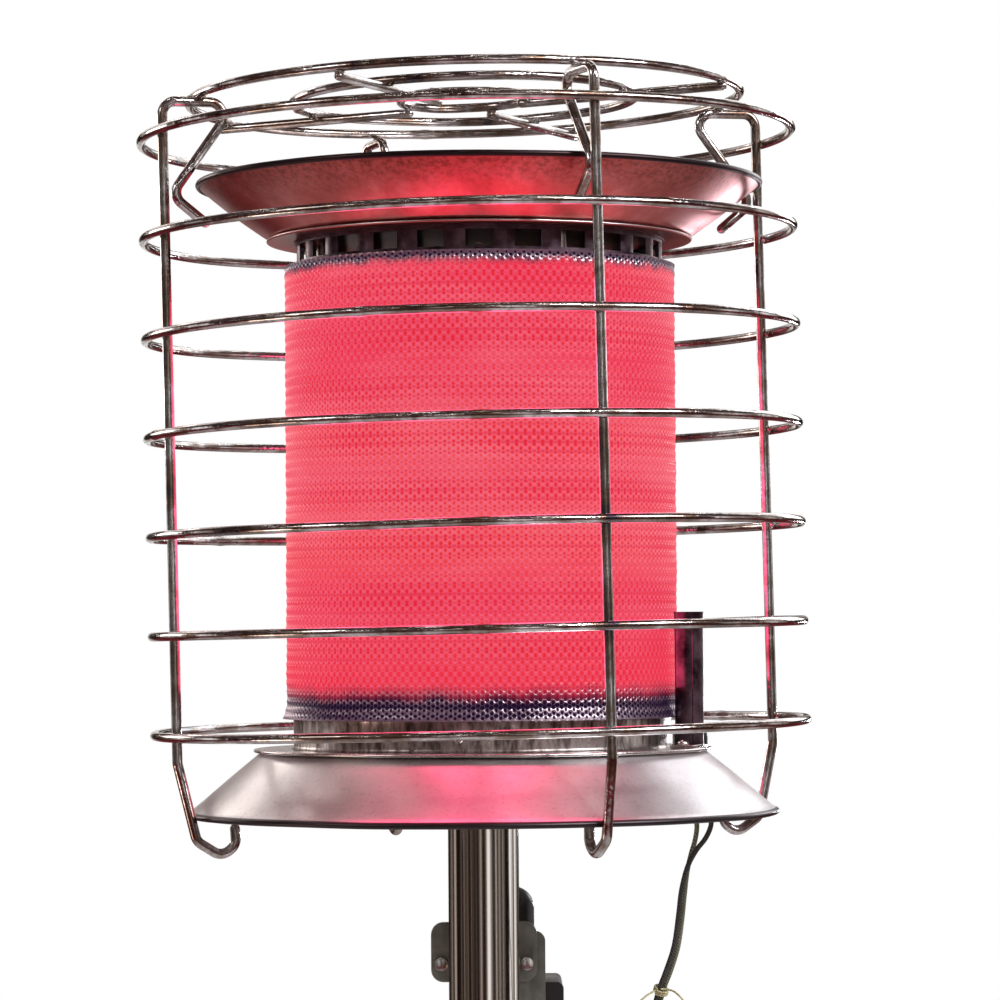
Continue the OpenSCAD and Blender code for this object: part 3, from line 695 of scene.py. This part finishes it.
def lead(name, route, material, node):
    """A lead as a curve of one open spline through the route."""
    path = smooth_path(route, 4)
    curve = bpy.data.curves.new(name, "CURVE")
    curve.dimensions = "3D"
    curve.bevel_depth = LEAD_D / 2 * MM
    curve.bevel_resolution = 4
    curve.use_fill_caps = True
    spline = curve.splines.new("POLY")
    spline.points.add(len(path) - 1)
    for point, p in zip(spline.points, path):
        point.co = (*(p * MM), 1)
    spline.use_smooth = True
    curve.materials.append(material)
    obj = linked(name, curve)
    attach(obj, BODY)
    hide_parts(node)
    length = sum((b - a).length for a, b in zip(path, path[1:])) * MM
    return obj, round(length, 3)


def lead_tie():
    """A twist of waxed cord round both leads, with two free tails."""
    centre = Vector((105.9, 5.6, 1343.5))
    axis = Vector((-7.5, 10.5, -26)).normalized()
    side = axis.orthogonal().normalized()
    other = axis.cross(side)
    turns, steps = 3, 28
    coil = []
    for k in range(turns * steps + 1):
        a = TAU * k / steps
        along = axis * (k / steps - turns / 2) * 1.15
        coil.append(centre + 4.2 * (cos(a) * side + sin(a) * other) + along)
    left = smooth_path([(103, 2.4, 1344), (101, 2.0, 1343), (97, -1, 1341), (91, -3, 1336), (87, -4, 1331)], 5)
    right = smooth_path([(106, 2.0, 1344.5), (110.5, 2, 1344), (114, -2.5, 1343), (119, -5, 1338), (122, -6, 1332)], 5)
    return joined([rod(p, 0.6, 10, round_ends=True) for p in (coil, left, right)])


def gland():
    """Ribbed rubber sleeve where both leads enter the control box."""
    low, high = box_mm("lead_gland")
    length = high.x - low.x
    half = (high.z - low.z) / 2 - 6.5
    middle = (low + high) / 2
    steps = 48
    rings = [(0, 6.5), (0.9, 6.5), (1.0, 5.7), (2.2, 5.7), (2.4, 6.1), (3.4, 6.0), (3.6, 5.2), (4.8, 5.1), (5.0, 5.6),
             (6.0, 5.4), (6.2, 4.8), (7.4, 4.7), (7.6, 5.1), (8.6, 4.9), (8.8, 4.3), (length - 0.5, 4.1), (length, 3.7)]
    verts = []
    for x, r in rings:
        for a in angles(steps):
            shift = half if sin(a) >= 0 else -half
            verts.append(Vector((low.x + x, middle.y + r * cos(a), middle.z + shift + r * sin(a))))
    return verts, ring_faces(len(rings), steps)


tie = piece("lead_tie_twist", lead_tie(), TIE, ["lead_tie"])
gland_piece = piece("lead_gland_sleeve", gland(), BLACK, ["lead_gland"])
green, green_length = lead("thermocouple_sleeve", THERMOCOUPLE_ROUTE, GREEN_LEAD, "thermocouple_lead")
black, black_length = lead("igniter_wire", IGNITER_ROUTE, BLACK_LEAD, "igniter_lead")


# ---- Wire guard ----

def hung():
    """The guard's lean about the lower rim."""
    pivot = Matrix.Translation((0, 0, LOWER_RIM_Z))
    return pivot @ Matrix.Rotation(-LEAN, 4, "Y") @ pivot.inverted()


def guard_ring(radius, z, seam, seed):
    """A ring of wire, hand-bent a little out of true, with its butt weld."""
    steps = 240
    path = []
    for k, p in enumerate(circle_path(radius, z, steps)):
        bend = noise.noise(polar(1, TAU * k / steps, seed * 7.3) * 1.4)
        lift = noise.noise(polar(1, TAU * k / steps, seed * 3.1 + 40) * 1.2)
        path.append(p + Vector((p.x, p.y, 0)).normalized() * bend * 0.35 + Vector((0, 0, lift * 0.7)))
    joint = int(seam / 360 * steps)

    def size(i):
        away = min(abs(i - joint), steps - abs(i - joint))
        return HOOP_WIRE_R * (1 + 0.16 * math.exp(-(away / 0.9) ** 2))

    return rod(path, size, 16, closed=True)


def upright_path():
    """Corners of an upright in its own (r, z) plane, as in the design, then rounded."""
    hook_slope, elbow_drop, bend = 0.74, 8, 8
    upright_r = HOOP_R - HOOP_WIRE_R - UPRIGHT_WIRE_R + 0.3
    arm_z = TOP_RING_Z - HOOP_WIRE_R - UPRIGHT_WIRE_R + 0.3
    upper_hook_r = UPPER_RIM_R + BEAD_R + UPRIGHT_WIRE_R + 6
    lower_hook_r = LOWER_RIM_R + BEAD_R + UPRIGHT_WIRE_R + 0.4
    corners = [
        (155.5, 0, LOWER_RIM_Z - 3.5), (155, 0, LOWER_RIM_Z - 13), (164, 0, LOWER_RIM_Z - 19.5),
        (lower_hook_r - 1.6, 0, LOWER_RIM_Z - 10),
        (upright_r, 0, PLATE_Z - 3), (upright_r, 0, arm_z),
        (upper_hook_r - (arm_z - UPPER_RIM_Z) * hook_slope, 0, arm_z),
        (upper_hook_r + elbow_drop * hook_slope, 0, UPPER_RIM_Z - elbow_drop), (UPPER_RIM_R - 3.4, 0, UPPER_RIM_Z - 24),
    ]
    return subdivided(rounded_path(corners, bend, 10), 6)


def weld(at, size):
    """A small lump of weld metal."""
    rings, sides = 7, 12
    verts = [at + Vector((0, 0, -size.z)), at + Vector((0, 0, size.z))]
    for i in range(1, rings):
        b = pi * i / rings - pi / 2
        for a in angles(sides):
            verts.append(at + Vector((size.x * cos(b) * cos(a), size.y * cos(b) * sin(a),
                                      size.z * sin(b))))
    faces = []
    for k in range(sides):
        n = (k + 1) % sides
        faces.append((0, 2 + n, 2 + k))
        top = 2 + (rings - 2) * sides
        faces.append((1, top + k, top + n))
        for i in range(rings - 2):
            a = 2 + i * sides
            faces.append((a + k, a + n, a + sides + n, a + sides + k))
    return verts, faces


lean_matrix = hung()
welds = []
for i in range(HOOP_COUNT):
    z = FIRST_HOOP_Z + i * HOOP_STEP
    part = placed(guard_ring(HOOP_R, z, 40 + 53 * i % 360, i + 1), lean_matrix)
    piece(f"hoop_wire_{i + 1}", part, WIRE, [f"guard_hoop_{i + 1}"])
    for angle in UPRIGHT_ANGLES:
        spot = weld(Vector((HOOP_R - HOOP_WIRE_R, 0, z)), Vector((2.2, 3.4, 2.3)))
        welds.append(placed(placed(spot, turned(angle)), lean_matrix))
TOP_RING_R = {which: box_mm(f"guard_top_ring_{which}")[1].y - HOOP_WIRE_R for which in ("outer", "middle", "inner")}
for number, angle in enumerate(UPRIGHT_ANGLES, 1):
    wire = rod(upright_path(), UPRIGHT_WIRE_R, 16, round_ends=True)
    part = placed(placed(wire, turned(angle)), lean_matrix)
    piece(f"upright_wire_{number}", part, WIRE, [f"guard_upright_{number}"])
    spot = weld(Vector((TOP_RING_R["outer"], 0, TOP_RING_Z - 2.6)), Vector((3.4, 3.2, 1.8)))
    welds.append(placed(placed(spot, turned(angle)), lean_matrix))
for seed, which in enumerate(TOP_RING_R):
    part = placed(guard_ring(TOP_RING_R[which], TOP_RING_Z, 100 + 70 * seed, 20 + seed), lean_matrix)
    piece(f"top_ring_{which}", part, WIRE, [f"guard_top_ring_{which}"])
spokes = []
for k in range(4):
    turn = turned(SPOKE_TURN + 90 * k)
    z = TOP_RING_Z - 2 * HOOP_WIRE_R + 0.3
    ends = [Vector((TOP_RING_R["inner"] - 1, 0, z)), Vector((TOP_RING_R["outer"] + 1, 0, z))]
    wire = rod(subdivided(ends, 8), HOOP_WIRE_R, 16, round_ends=True)
    spokes.append(placed(placed(wire, turn), lean_matrix))
    for r in TOP_RING_R.values():
        spot = weld(Vector((r, 0, TOP_RING_Z - HOOP_WIRE_R)), Vector((3.0, 3.2, 1.7)))
        welds.append(placed(placed(spot, turn), lean_matrix))
piece("top_spokes", joined(spokes), WIRE, ["guard_spokes"])
piece("guard_welds", joined(welds), WIRE)


# ---- Glowing screen ----

def relief_screen():
    """A perforated sheet rolled into a cylinder. Every third vertex of a triangular net is the middle of a hole."""
    around = 426
    rows = 180
    verts, faces = [], []
    for j in range(rows + 1):
        z = SCREEN_Z0 + (SCREEN_Z1 - SCREEN_Z0) * j / rows
        flare = FLARE * max(0, 1 - (z - SCREEN_Z0) / FLARE_H) ** 1.5
        for c in range(around):
            a = TAU * (c + 0.5 * (j % 2)) / around
            hole = (c - j // 2 - j) % 3 == 0 and 0 < j < rows
            buckle = noise.noise(Vector((2.2 * cos(a), 2.2 * sin(a), z / 42))) * 0.24
            ring = 0.16 * sin(z / 270 * TAU * 9 + 0.6) + 0.22 * sin(z / 5.4 * TAU)
            r = SCREEN_R + flare + buckle + ring - (HOLE_DEPTH if hole else 0)
            verts.append(polar(r, a, z))
    for j in range(rows):
        for c in range(around):
            n = (c + 1) % around
            low, up = j * around, (j + 1) * around
            if j % 2 == 0:
                faces += [(low + c, low + n, up + c), (low + n, up + n, up + c)]
            else:
                faces += [(low + c, low + n, up + n), (low + c, up + n, up + c)]
    return verts, faces


def screen_liner():
    """Dark backing just inside the mesh."""
    r = SCREEN_R - 1.9
    return lathe([(r, SCREEN_Z0 + 2), (r, SCREEN_Z1 - 1), (r - 0.6, SCREEN_Z1 - 1), (r - 0.6, SCREEN_Z0 + 2)], 128)


piece("screen_mesh", relief_screen(), GLOW, ["glow_screen"], sharp=60)
piece("screen_liner", screen_liner(), INNER)


# ---- Reflectors, plates and collars ----

def sheet_profile(outer, thickness):
    """A closed profile from the points of one face, thickened inwards along its normals."""
    inner = []
    for i, (r, z) in enumerate(outer):
        a = Vector(outer[max(i - 1, 0)])
        b = Vector(outer[min(i + 1, len(outer) - 1)])
        along = (b - a).normalized()
        inner.append((r - along.y * thickness, z + along.x * thickness))
    return outer + inner[::-1]


def dents(amount, seed):
    """Gentle unevenness of hand-spun sheet."""
    def change(angle, r, z):
        at = Vector((cos(angle) * r / 60, sin(angle) * r / 60, z / 60 + seed))
        return noise.noise(at) * amount, noise.noise(at + Vector((9, 3, 5))) * amount
    return change


def upper_reflector():
    floor_r = DISH_FLOOR_R
    wall = [(2, DISH_Z), (floor_r * 0.35, DISH_Z), (floor_r * 0.7, DISH_Z), (floor_r - 2.5, DISH_Z),
            (floor_r - 0.6, DISH_Z + 0.35), (floor_r + 0.8, DISH_Z + 1.5)]
    steps = 12
    start_r, start_z = wall[-1]
    end_r, end_z = UPPER_RIM_R - 1.0, UPPER_RIM_Z - 1.4
    for k in range(1, steps + 1):
        t = k / steps
        belly = -0.5 * sin(pi * t)
        wall.append((start_r + (end_r - start_r) * t - belly, start_z + (end_z - start_z) * t + belly))
    wall += arc_points(UPPER_RIM_R, UPPER_RIM_Z, BEAD_R, -100, 170, 12)
    return lathe(sheet_profile(wall, SHEET), 256, wobble=dents(0.35, 3))


def lower_reflector():
    shoulder = PLATE_R - 3
    wall = [(CONE_HOLE_R, PLATE_Z - 2.1), (shoulder - 2.5, PLATE_Z - 2.1), (shoulder - 0.5, PLATE_Z - 2.5),
            (shoulder + 0.8, PLATE_Z - 3.7)]
    steps = 14
    start = Vector(wall[-1])
    end = Vector((LOWER_RIM_R - 0.6, LOWER_RIM_Z + 1.2))
    for k in range(1, steps + 1):
        t = k / steps
        p = start.lerp(end, t)
        flare = 0.9 * (t ** 6)
        wall.append((p.x, p.y + flare + 0.5 * sin(pi * t)))
    wall += arc_points(LOWER_RIM_R, LOWER_RIM_Z, BEAD_R, 80, -170, 12)
    return lathe(sheet_profile(wall, -SHEET), 256, wobble=dents(0.3, 11))


def top_plate():
    """Flat disc with a folded hem, under the dish's floor."""
    r = DISH_FLOOR_R + 1
    z0 = COLLAR_TOP
    profile = [(2, z0), (r * 0.5, z0), (r - 4, z0)] + arc_points(r - 0.9, z0 + 0.55, 0.75, -90, 90, 8)
    profile += [(r - 4, z0 + 1.2), (2, z0 + 1.2)]
    return lathe(profile, 192, wobble=dents(0.15, 21))


def burner_plate():
    """Plate that carries the burner, with a hem at its edge."""
    r = PLATE_R
    z = PLATE_Z - 2
    profile = [(PLATE_HOLE_R, z), (60, z), (r - 4, z)] + arc_points(r - 1, z + 1, 1.0, -90, 90, 8)
    profile += [(r - 4, z + 1.9), (60, z + 1.9), (PLATE_HOLE_R, z + 1.9)]
    return lathe(profile, 192, wobble=dents(0.12, 31))


def vent_collar():
    """Ring of flue windows with folded posts."""
    r = VENT_R
    z0 = box_mm("vent_collar")[0].z
    z1 = COLLAR_TOP
    count = 24
    flange = [(SCREEN_R - 1.0, z0), (r, z0), (r, z0 + 4.4), (r - 1, z0 + 4.4), (r - 1, z0 + 1.0),
              (SCREEN_R - 1.0, z0 + 1.0)]
    head = [(r + 1.2, z1 - 0.8), (r, z1 - 0.8), (r, z1 - 2.6), (r - 1, z1 - 2.6), (r - 1, z1), (r + 1.2, z1)]
    parts = [lathe(flange, 192), lathe(head, 192)]
    for k in range(count):
        middle = 360 / count * (k + 0.5)
        half = 3.3
        steps = 6
        outline = []
        for s in range(steps + 1):
            a = radians(middle - half + 2 * half * s / steps)
            bow = 1.1 * sin(pi * s / steps)
            outline.append((a, r - 1.0 + bow))
        outline += [(a, post_r - 0.8) for a, post_r in reversed(outline)]
        verts = [polar(post_r, a, z) for z in (z0 + 4.0, z1 - 2.2) for a, post_r in outline]
        parts.append((verts, prism_faces(len(outline))))
    return joined(parts)


def lower_collar():
    """Band between the burner plate and the screen, with its lap seam and ledge."""
    low, high = box_mm("lower_collar")
    r = COLLAR_R
    z0, z1 = low.z, high.z
    profile = [(r - 0.9, z0), (r + 1.0, z0), (r + 0.2, z0 + 0.9), (r, z0 + 2.0), (r, z1 - 3.5), (r + 0.3, z1 - 1.6),
               (SCREEN_R - 1.2, z1 - 1.1), (SCREEN_R - 1.2, z1), (r - 0.9, z1 - 0.9)]
    band = lathe(profile, 192, wobble=dents(0.25, 51))
    seam = radians(-112)
    lap = [(r - 0.4, 0), (r + 0.9, 0.004), (r + 0.9, 0.030), (r - 0.4, 0.034)]
    verts = [polar(lap_r, seam + ahead, z) for z in (z0 + 1.5, z1 - 3.5) for lap_r, ahead in lap]
    return joined([band, (verts, prism_faces(len(lap)))])


def collar_screws():
    """Screws that hold the band, heads outward."""
    out = Matrix.Translation((COLLAR_R, 0, box_mm("lower_collar")[0].z + 8)) @ Matrix.Rotation(pi / 2, 4, "Y")
    return joined([placed(pan_head(3.0, 2.0), turned(angle) @ out) for angle in (-97, -20, 60, 140)])


piece("upper_dish", upper_reflector(), DISH, ["upper_reflector"], sharp=50)
piece("lower_cone", lower_reflector(), REFLECTOR, ["lower_reflector"], sharp=50)
piece("dish_plate", top_plate(), DISH, ["top_plate"], sharp=50)
piece("burner_disc", burner_plate(), PLATE, ["burner_plate"], sharp=50)
piece("vent_ring", vent_collar(), SOOTY, ["vent_collar"])
piece("collar_band", lower_collar(), TINTED, ["lower_collar"])
piece("collar_screws", collar_screws(), ZINC)


# ---- Pilot ----

AT_PILOT = Matrix.Rotation(PILOT_TURN, 4, "Z") @ Matrix.Translation((PILOT_R, 0, 0))


def pilot_shield():
    """Rolled tube with a flared lip, a lap seam and a window towards the screen."""
    z0 = PLATE_Z + 2
    z1 = box_mm("pilot_shield")[1].z
    steps, rows = 72, 40
    window = (z0 + 34, z0 + 64)
    verts, faces = [], []
    for inside in (False, True):
        for j in range(rows + 1):
            z = z0 + (z1 - z0) * j / rows
            lip = 0.5 * max(0, 1 - (z1 - z) / 3) ** 2
            for a in angles(steps):
                r = (7.6 if inside else 8.45) + lip + 0.12 * noise.noise(polar(1, a, z / 12))
                verts.append(polar(r, a, z))
    count = steps * (rows + 1)
    for j in range(rows):
        z = z0 + (z1 - z0) * (j + 0.5) / rows
        for k in range(steps):
            facing = abs((TAU * (k + 0.5) / steps) - pi) < 0.42
            n = (k + 1) % steps
            if facing and window[0] < z < window[1]:
                continue
            a, b, c, d = j * steps + k, j * steps + n, (j + 1) * steps + n, (j + 1) * steps + k
            faces += [(a, b, c, d), (a + count, d + count, c + count, b + count)]
    for k in range(steps):
        n = (k + 1) % steps
        top = rows * steps
        faces += [(top + k, top + n, top + n + count, top + k + count), (k, k + count, n + count, n)]
    seam = [(8.3, -1.8), (9.0, -1.5), (9.0, 1.5), (8.3, 1.8)]
    lap = [Vector((x, y, z)) for z in (z0 + 0.5, z1 - 4) for x, y in seam]
    return joined([(verts, faces), placed((lap, prism_faces(len(seam))), turned(-52))])


def pilot_bracket():
    """Folded plate under the shield, with an upstand."""
    outline = rounded_outline(-8.4, 8.0, -16, 16, 2.5)
    verts = [Vector((x, y, z)) for z in (PLATE_Z, PLATE_Z + 1.9) for x, y in outline]
    tab = block(-6.5, -5.4, -15.2, -9.2, PLATE_Z + 1.5, PLATE_Z + 13)
    return joined([(verts, prism_faces(len(outline))), tab])


def pilot_fasteners():
    """The two screws of the bracket."""
    heads = [placed(pan_head(3.4, 2.4), Matrix.Translation((-1, dy, PLATE_Z + 1.95))) for dy in (-12, 12)]
    return joined(heads)


def electrode_boot():
    """Rubber boot over the igniter's terminal."""
    profile = [(0.01, 0), (3.6, 0), (3.6, 4.5), (3.1, 5.0), (3.1, 6.0)] + arc_points(0.01, 6.4, 2.9, 0, 90, 6)
    return placed(lathe(profile, 40), Matrix.Translation((4.6, 11.5, PLATE_Z + 1.9)))


piece("shield_tube", placed(pilot_shield(), AT_PILOT), SOOTY, ["pilot_shield"])
piece("bracket_plate", placed(pilot_bracket(), AT_PILOT), PLATE, ["pilot_bracket"], bevel=0.3)
piece("bracket_screws", placed(pilot_fasteners(), AT_PILOT), ZINC, ["pilot_screws"])
piece("electrode_boot", placed(electrode_boot(), AT_PILOT), CAP_BLACK)


# ---- Controls ----

BOX_X, SPINDLE_Z, BUTTON_Z = 18, 1283, 1232


def regulator_cap():
    """Domed bonnet with a stepped skirt and a vent."""
    low, high = box_mm("regulator_cap")
    r = (high.x - low.x) / 2
    dome_r = r - 0.15
    profile = [(0.01, low.z), (r - 0.6, low.z), (r, low.z + 0.8), (r, 1352), (r - 0.5, 1353.2), (r - 0.5, 1355)]
    profile += [(dome_r, 1356.5), (dome_r, high.z - r)]
    profile += [(x * dome_r / r, z) for x, z in arc_points(0.01, high.z - r, r, 8, 90, 16)]
    return placed(lathe(profile, 128), Matrix.Translation(((low.x + high.x) / 2, (low.y + high.y) / 2, 0)))


def control_knob():
    """Fluted knob with a finger bar and a raised pointer. Its axis is along +Y."""
    base_y = box_mm("control_knob")[0].y
    steps = 240
    levels = [(0.0, 17.6), (0.6, 18.0), (3.0, 18.0), (3.6, 17.3), (8.2, 16.6), (9.3, 16.2), (9.9, 15.4), (10.0, 12.0)]
    verts = []
    for h, r in levels:
        fluted = 3.0 < h < 9.6
        for a in angles(steps):
            cut = 0.55 * max(0, cos(24 * a)) if fluted else 0
            verts.append(polar(r - cut, a, h))
    disc = placed((verts, ring_faces(len(levels), steps)), along_y(BOX_X, base_y, SPINDLE_Z))
    grip = rounded_outline(BOX_X - 3.2, BOX_X + 3.2, SPINDLE_Z - 14.8, SPINDLE_Z + 14.8, 3.1)
    pointer = rounded_outline(BOX_X - 0.6, BOX_X + 0.6, SPINDLE_Z + 4, SPINDLE_Z + 13.4, 0.5)
    return disc, extruded(grip, base_y + 9, base_y + 20), extruded(pointer, base_y + 19.8, base_y + 20.25)


disc, bar, mark = control_knob()
piece("knob_disc", disc, BLACK, ["control_knob"], body="control_knob")
piece("knob_bar", bar, BLACK, body="control_knob", bevel=0.9)
piece("knob_mark", mark, CERAMIC, body="control_knob", bevel=0.1)
piece("cap_dome", regulator_cap(), CAP_BLACK, ["regulator_cap"])

button_profile = [(0.01, 0), (10.4, 0), (10.4, 1.9), (7.95, 2.1), (7.95, 10.2), (7.5, 11.2), (6.6, 11.9), (4.0, 11.5),
                  (0.01, 11.2)]
button = placed(lathe(button_profile, 96), along_y(BOX_X, box_mm("igniter_button")[0].y, BUTTON_Z))
piece("button_cap", button, RED, ["igniter_button"], body="igniter_button", sharp=50)
bezel_y = box_mm("control_cover")[1].y
bezel = [(8.3, 0), (12.2, 0), (12.2, 0.8), (11.4, 1.6), (9.2, 1.6), (8.3, 1.2)]
piece("button_bezel", placed(lathe(bezel, 96), along_y(BOX_X, bezel_y, BUTTON_Z)), ZINC)
skirt = [(20.2, 0), (23.0, 0), (22.8, 0.9), (20.6, 0.9)]
piece("knob_skirt", placed(lathe(skirt, 128), along_y(BOX_X, bezel_y, SPINDLE_Z)), ZINC)


# ---- CAD shapes with their edges broken ----

def softened(node, material, slot, width):
    """A copy of a CAD node's mesh with small radii on its edges, which takes the node's place."""
    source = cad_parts[node]
    mesh = source.data.copy()
    mesh.transform(source.matrix_world)
    work = bmesh.new()
    work.from_mesh(mesh)
    bmesh.ops.remove_doubles(work, verts=work.verts, dist=1e-6)
    bmesh.ops.dissolve_limit(work, angle_limit=radians(2), verts=work.verts, edges=work.edges)
    work.to_mesh(mesh)
    work.free()
    mesh.materials.clear()
    mesh.materials.append(material)
    obj = linked(f"{node}_finished", mesh)
    break_edges(obj, width, 2, 40)
    obj.data.shade_smooth()
    obj.data.set_sharp_from_angle(angle=radians(32))
    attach(obj, BODY)
    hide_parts(node)


for node, material, slot, width in (
    ("saddle_bracket", CAST, "cast_bracket", 0.7), ("box_bracket", CAST, "cast_bracket", 0.5),
    ("bracket_bolts", ZINC, "zinc_fastener", 0.5), ("control_box", BLACK, "black_plastic", 0.7),
    ("control_cover", BLACK, "black_plastic", 0.7), ("gas_inlet", BRASS, "brass", 0.5),
    ("base_bolts", ZINC, "zinc_fastener", 0.5), ("rubber_feet", RUBBER, "foot_rubber", 1.2),
    ("base_plate", PAINT, "base_paint", 1.0), ("tie_rod_nuts", ZINC, "zinc_fastener", 0.4),
    ("head_screws", ZINC, "zinc_fastener", 0.4), ("cover_screws", ZINC, "zinc_fastener", 0.4),
    ("pole_socket", INNER, "inner_steel", 0.6),
):
    softened(node, material, slot, width)


# ---- Finishes of the CAD pieces that stay ----

FINISHES = {
    "inner_screen": DRUM, "baffle_plate": INNER, "burner_drum": DRUM, "mixer_tube": INNER, "tie_rods": ZINC,
    "valve_spindle": ZINC, "thermocouple": ZINC, "igniter_electrode": CERAMIC, "gas_orifice": BRASS, "gas_valve": BRASS,
    "burner_pipe": PIPE, "supply_pipe": PIPE, "pilot_pipe": PIPE, "pole": POLE, "base_cover": REFLECTOR,
}
for node, material in FINISHES.items():
    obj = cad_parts[node]
    if not obj.material_slots:
        obj.data.materials.append(material)
    for holder in obj.material_slots:
        holder.material = material


# ---- Stage ----

def make_floor():
    radius, steps = 3.0, 96
    mesh = bpy.data.meshes.new("floor")
    mesh.from_pydata(circle_path(radius, -0.0002, steps), [], [tuple(range(steps))])
    material, tree, shader = new_material("pale_floor", 0.0, 0.6)
    tone = clouds(place(tree), 3.0, 3.0)
    feed(shader, {"Base Color": ramp(tone, [(0.3, 0.74), (0.7, 0.80)])})
    mesh.materials.append(material)
    floor = linked("floor", mesh)


def make_world():
    """White to the camera. To the metal, a dark hall: patchy walls, a dim floor and bright lamps overhead."""
    world = bpy.data.worlds.new("studio")
    bpy.context.scene.world = world
    world.use_nodes = True
    tree = world.node_tree
    tree.nodes.clear()
    way = add(tree, "ShaderNodeTexCoord").outputs["Generated"]
    x, y, z = add(tree, "ShaderNodeSeparateXYZ", {0: way}).outputs
    angle = calc("MULTIPLY_ADD", calc("ARCTAN2", y, x), 3.0, times(z, 0.6))
    strips = add(tree, "ShaderNodeTexNoise", {"W": angle, "Scale": 0.9, "Detail": 3.0, "Roughness": 0.5},
                 noise_dimensions="1D").outputs["Fac"]
    walls = ramp(strips, [(0.40, (0.006, 0.005, 0.005)), (0.47, (0.045, 0.034, 0.026)),
                                (0.51, (0.17, 0.145, 0.125)), (0.56, (0.55, 0.52, 0.49)), (0.62, (1.25, 1.22, 1.20))])
    lamps = add(tree, "ShaderNodeTexVoronoi", {"Vector": way, "Scale": 5.0}).outputs["Distance"]
    ceiling = ramp(lamps, [(0.07, (24.0, 22.5, 20.0)), (0.13, (1.0, 0.9, 0.8)), (0.24, (0.075, 0.045, 0.045))])
    high = remap(z, 0.16, 0.34, smooth=True)
    low = remap(z, -0.08, -0.26, smooth=True)
    room = blend(tree, high, walls, ceiling)
    room = blend(tree, low, room, (0.150, 0.020, 0.026))
    seen = add(tree, "ShaderNodeLightPath").outputs["Is Camera Ray"]
    shown = blend(tree, seen, room, (1.0, 1.0, 1.0))
    background = add(tree, "ShaderNodeBackground", {"Color": shown, "Strength": 1.0})
    output = add(tree, "ShaderNodeOutputWorld")
    tree.links.new(background.outputs[0], output.inputs["Surface"])


def area_light(name, at, target, size, power, colour=(1, 1, 1)):
    data = bpy.data.lights.new(name, "AREA")
    data.shape = "RECTANGLE"
    data.size, data.size_y = size
    data.energy = power
    data.color = colour
    light = linked(name, data)
    light.location = at
    light.rotation_euler = (Vector(target) - Vector(at)).to_track_quat("-Z", "Y").to_euler()
    light.visible_camera = False


def glow_lights():
    """The heat that the screen throws on the reflectors and the guard."""
    count = 12
    middle = (SCREEN_Z0 + SCREEN_Z1) / 2 * MM
    for k in range(count):
        a = TAU * (k + 0.5) / count
        out = polar(1, a, 0)
        at = out * (SCREEN_R + 4) * MM + Vector((0, 0, middle))
        area_light(f"glow_{k}", at, at + out, (0.055, 0.235), 0.12, (1.0, 0.12, 0.26))


make_floor()
make_world()
glow_lights()
HEAD = (0, 0, 1.65)
area_light("key", (1.3, -1.7, 3.2), HEAD, (0.22, 0.22), 40)
area_light("high_right", (2.0, -0.9, 2.9), HEAD, (0.9, 0.9), 42, (0.96, 0.97, 1.0))
area_light("high_left", (-2.0, -1.2, 2.9), HEAD, (0.7, 0.7), 9, (1.0, 0.97, 0.95))
area_light("back_right", (1.5, 2.0, 2.1), HEAD, (1.0, 0.6), 7, (0.95, 0.93, 0.92))
area_light("back_left", (-1.8, 1.6, 2.0), HEAD, (0.8, 0.5), 9, (1.0, 0.90, 0.84))
area_light("sky_right", (1.15, 1.9, 2.85), HEAD, (1.9, 1.2), 15, (0.96, 0.98, 1.0))
area_light("sky_left", (-1.15, 1.9, 2.85), HEAD, (1.6, 1.0), 4.5, (1.0, 0.93, 0.90))
area_light("low_left", (-1.4, -0.4, 0.9), (0, 0, 1.8), (0.5, 0.3), 2.5, (1.0, 0.78, 0.62))
area_light("glint", (0.64, 1.32, 1.44), (0.14, -0.04, 1.81), (0.10, 0.10), 2.0, (0.92, 0.92, 1.0))
scene = bpy.context.scene
scene.view_settings.view_transform = "Standard"
scene.view_settings.look = "None"
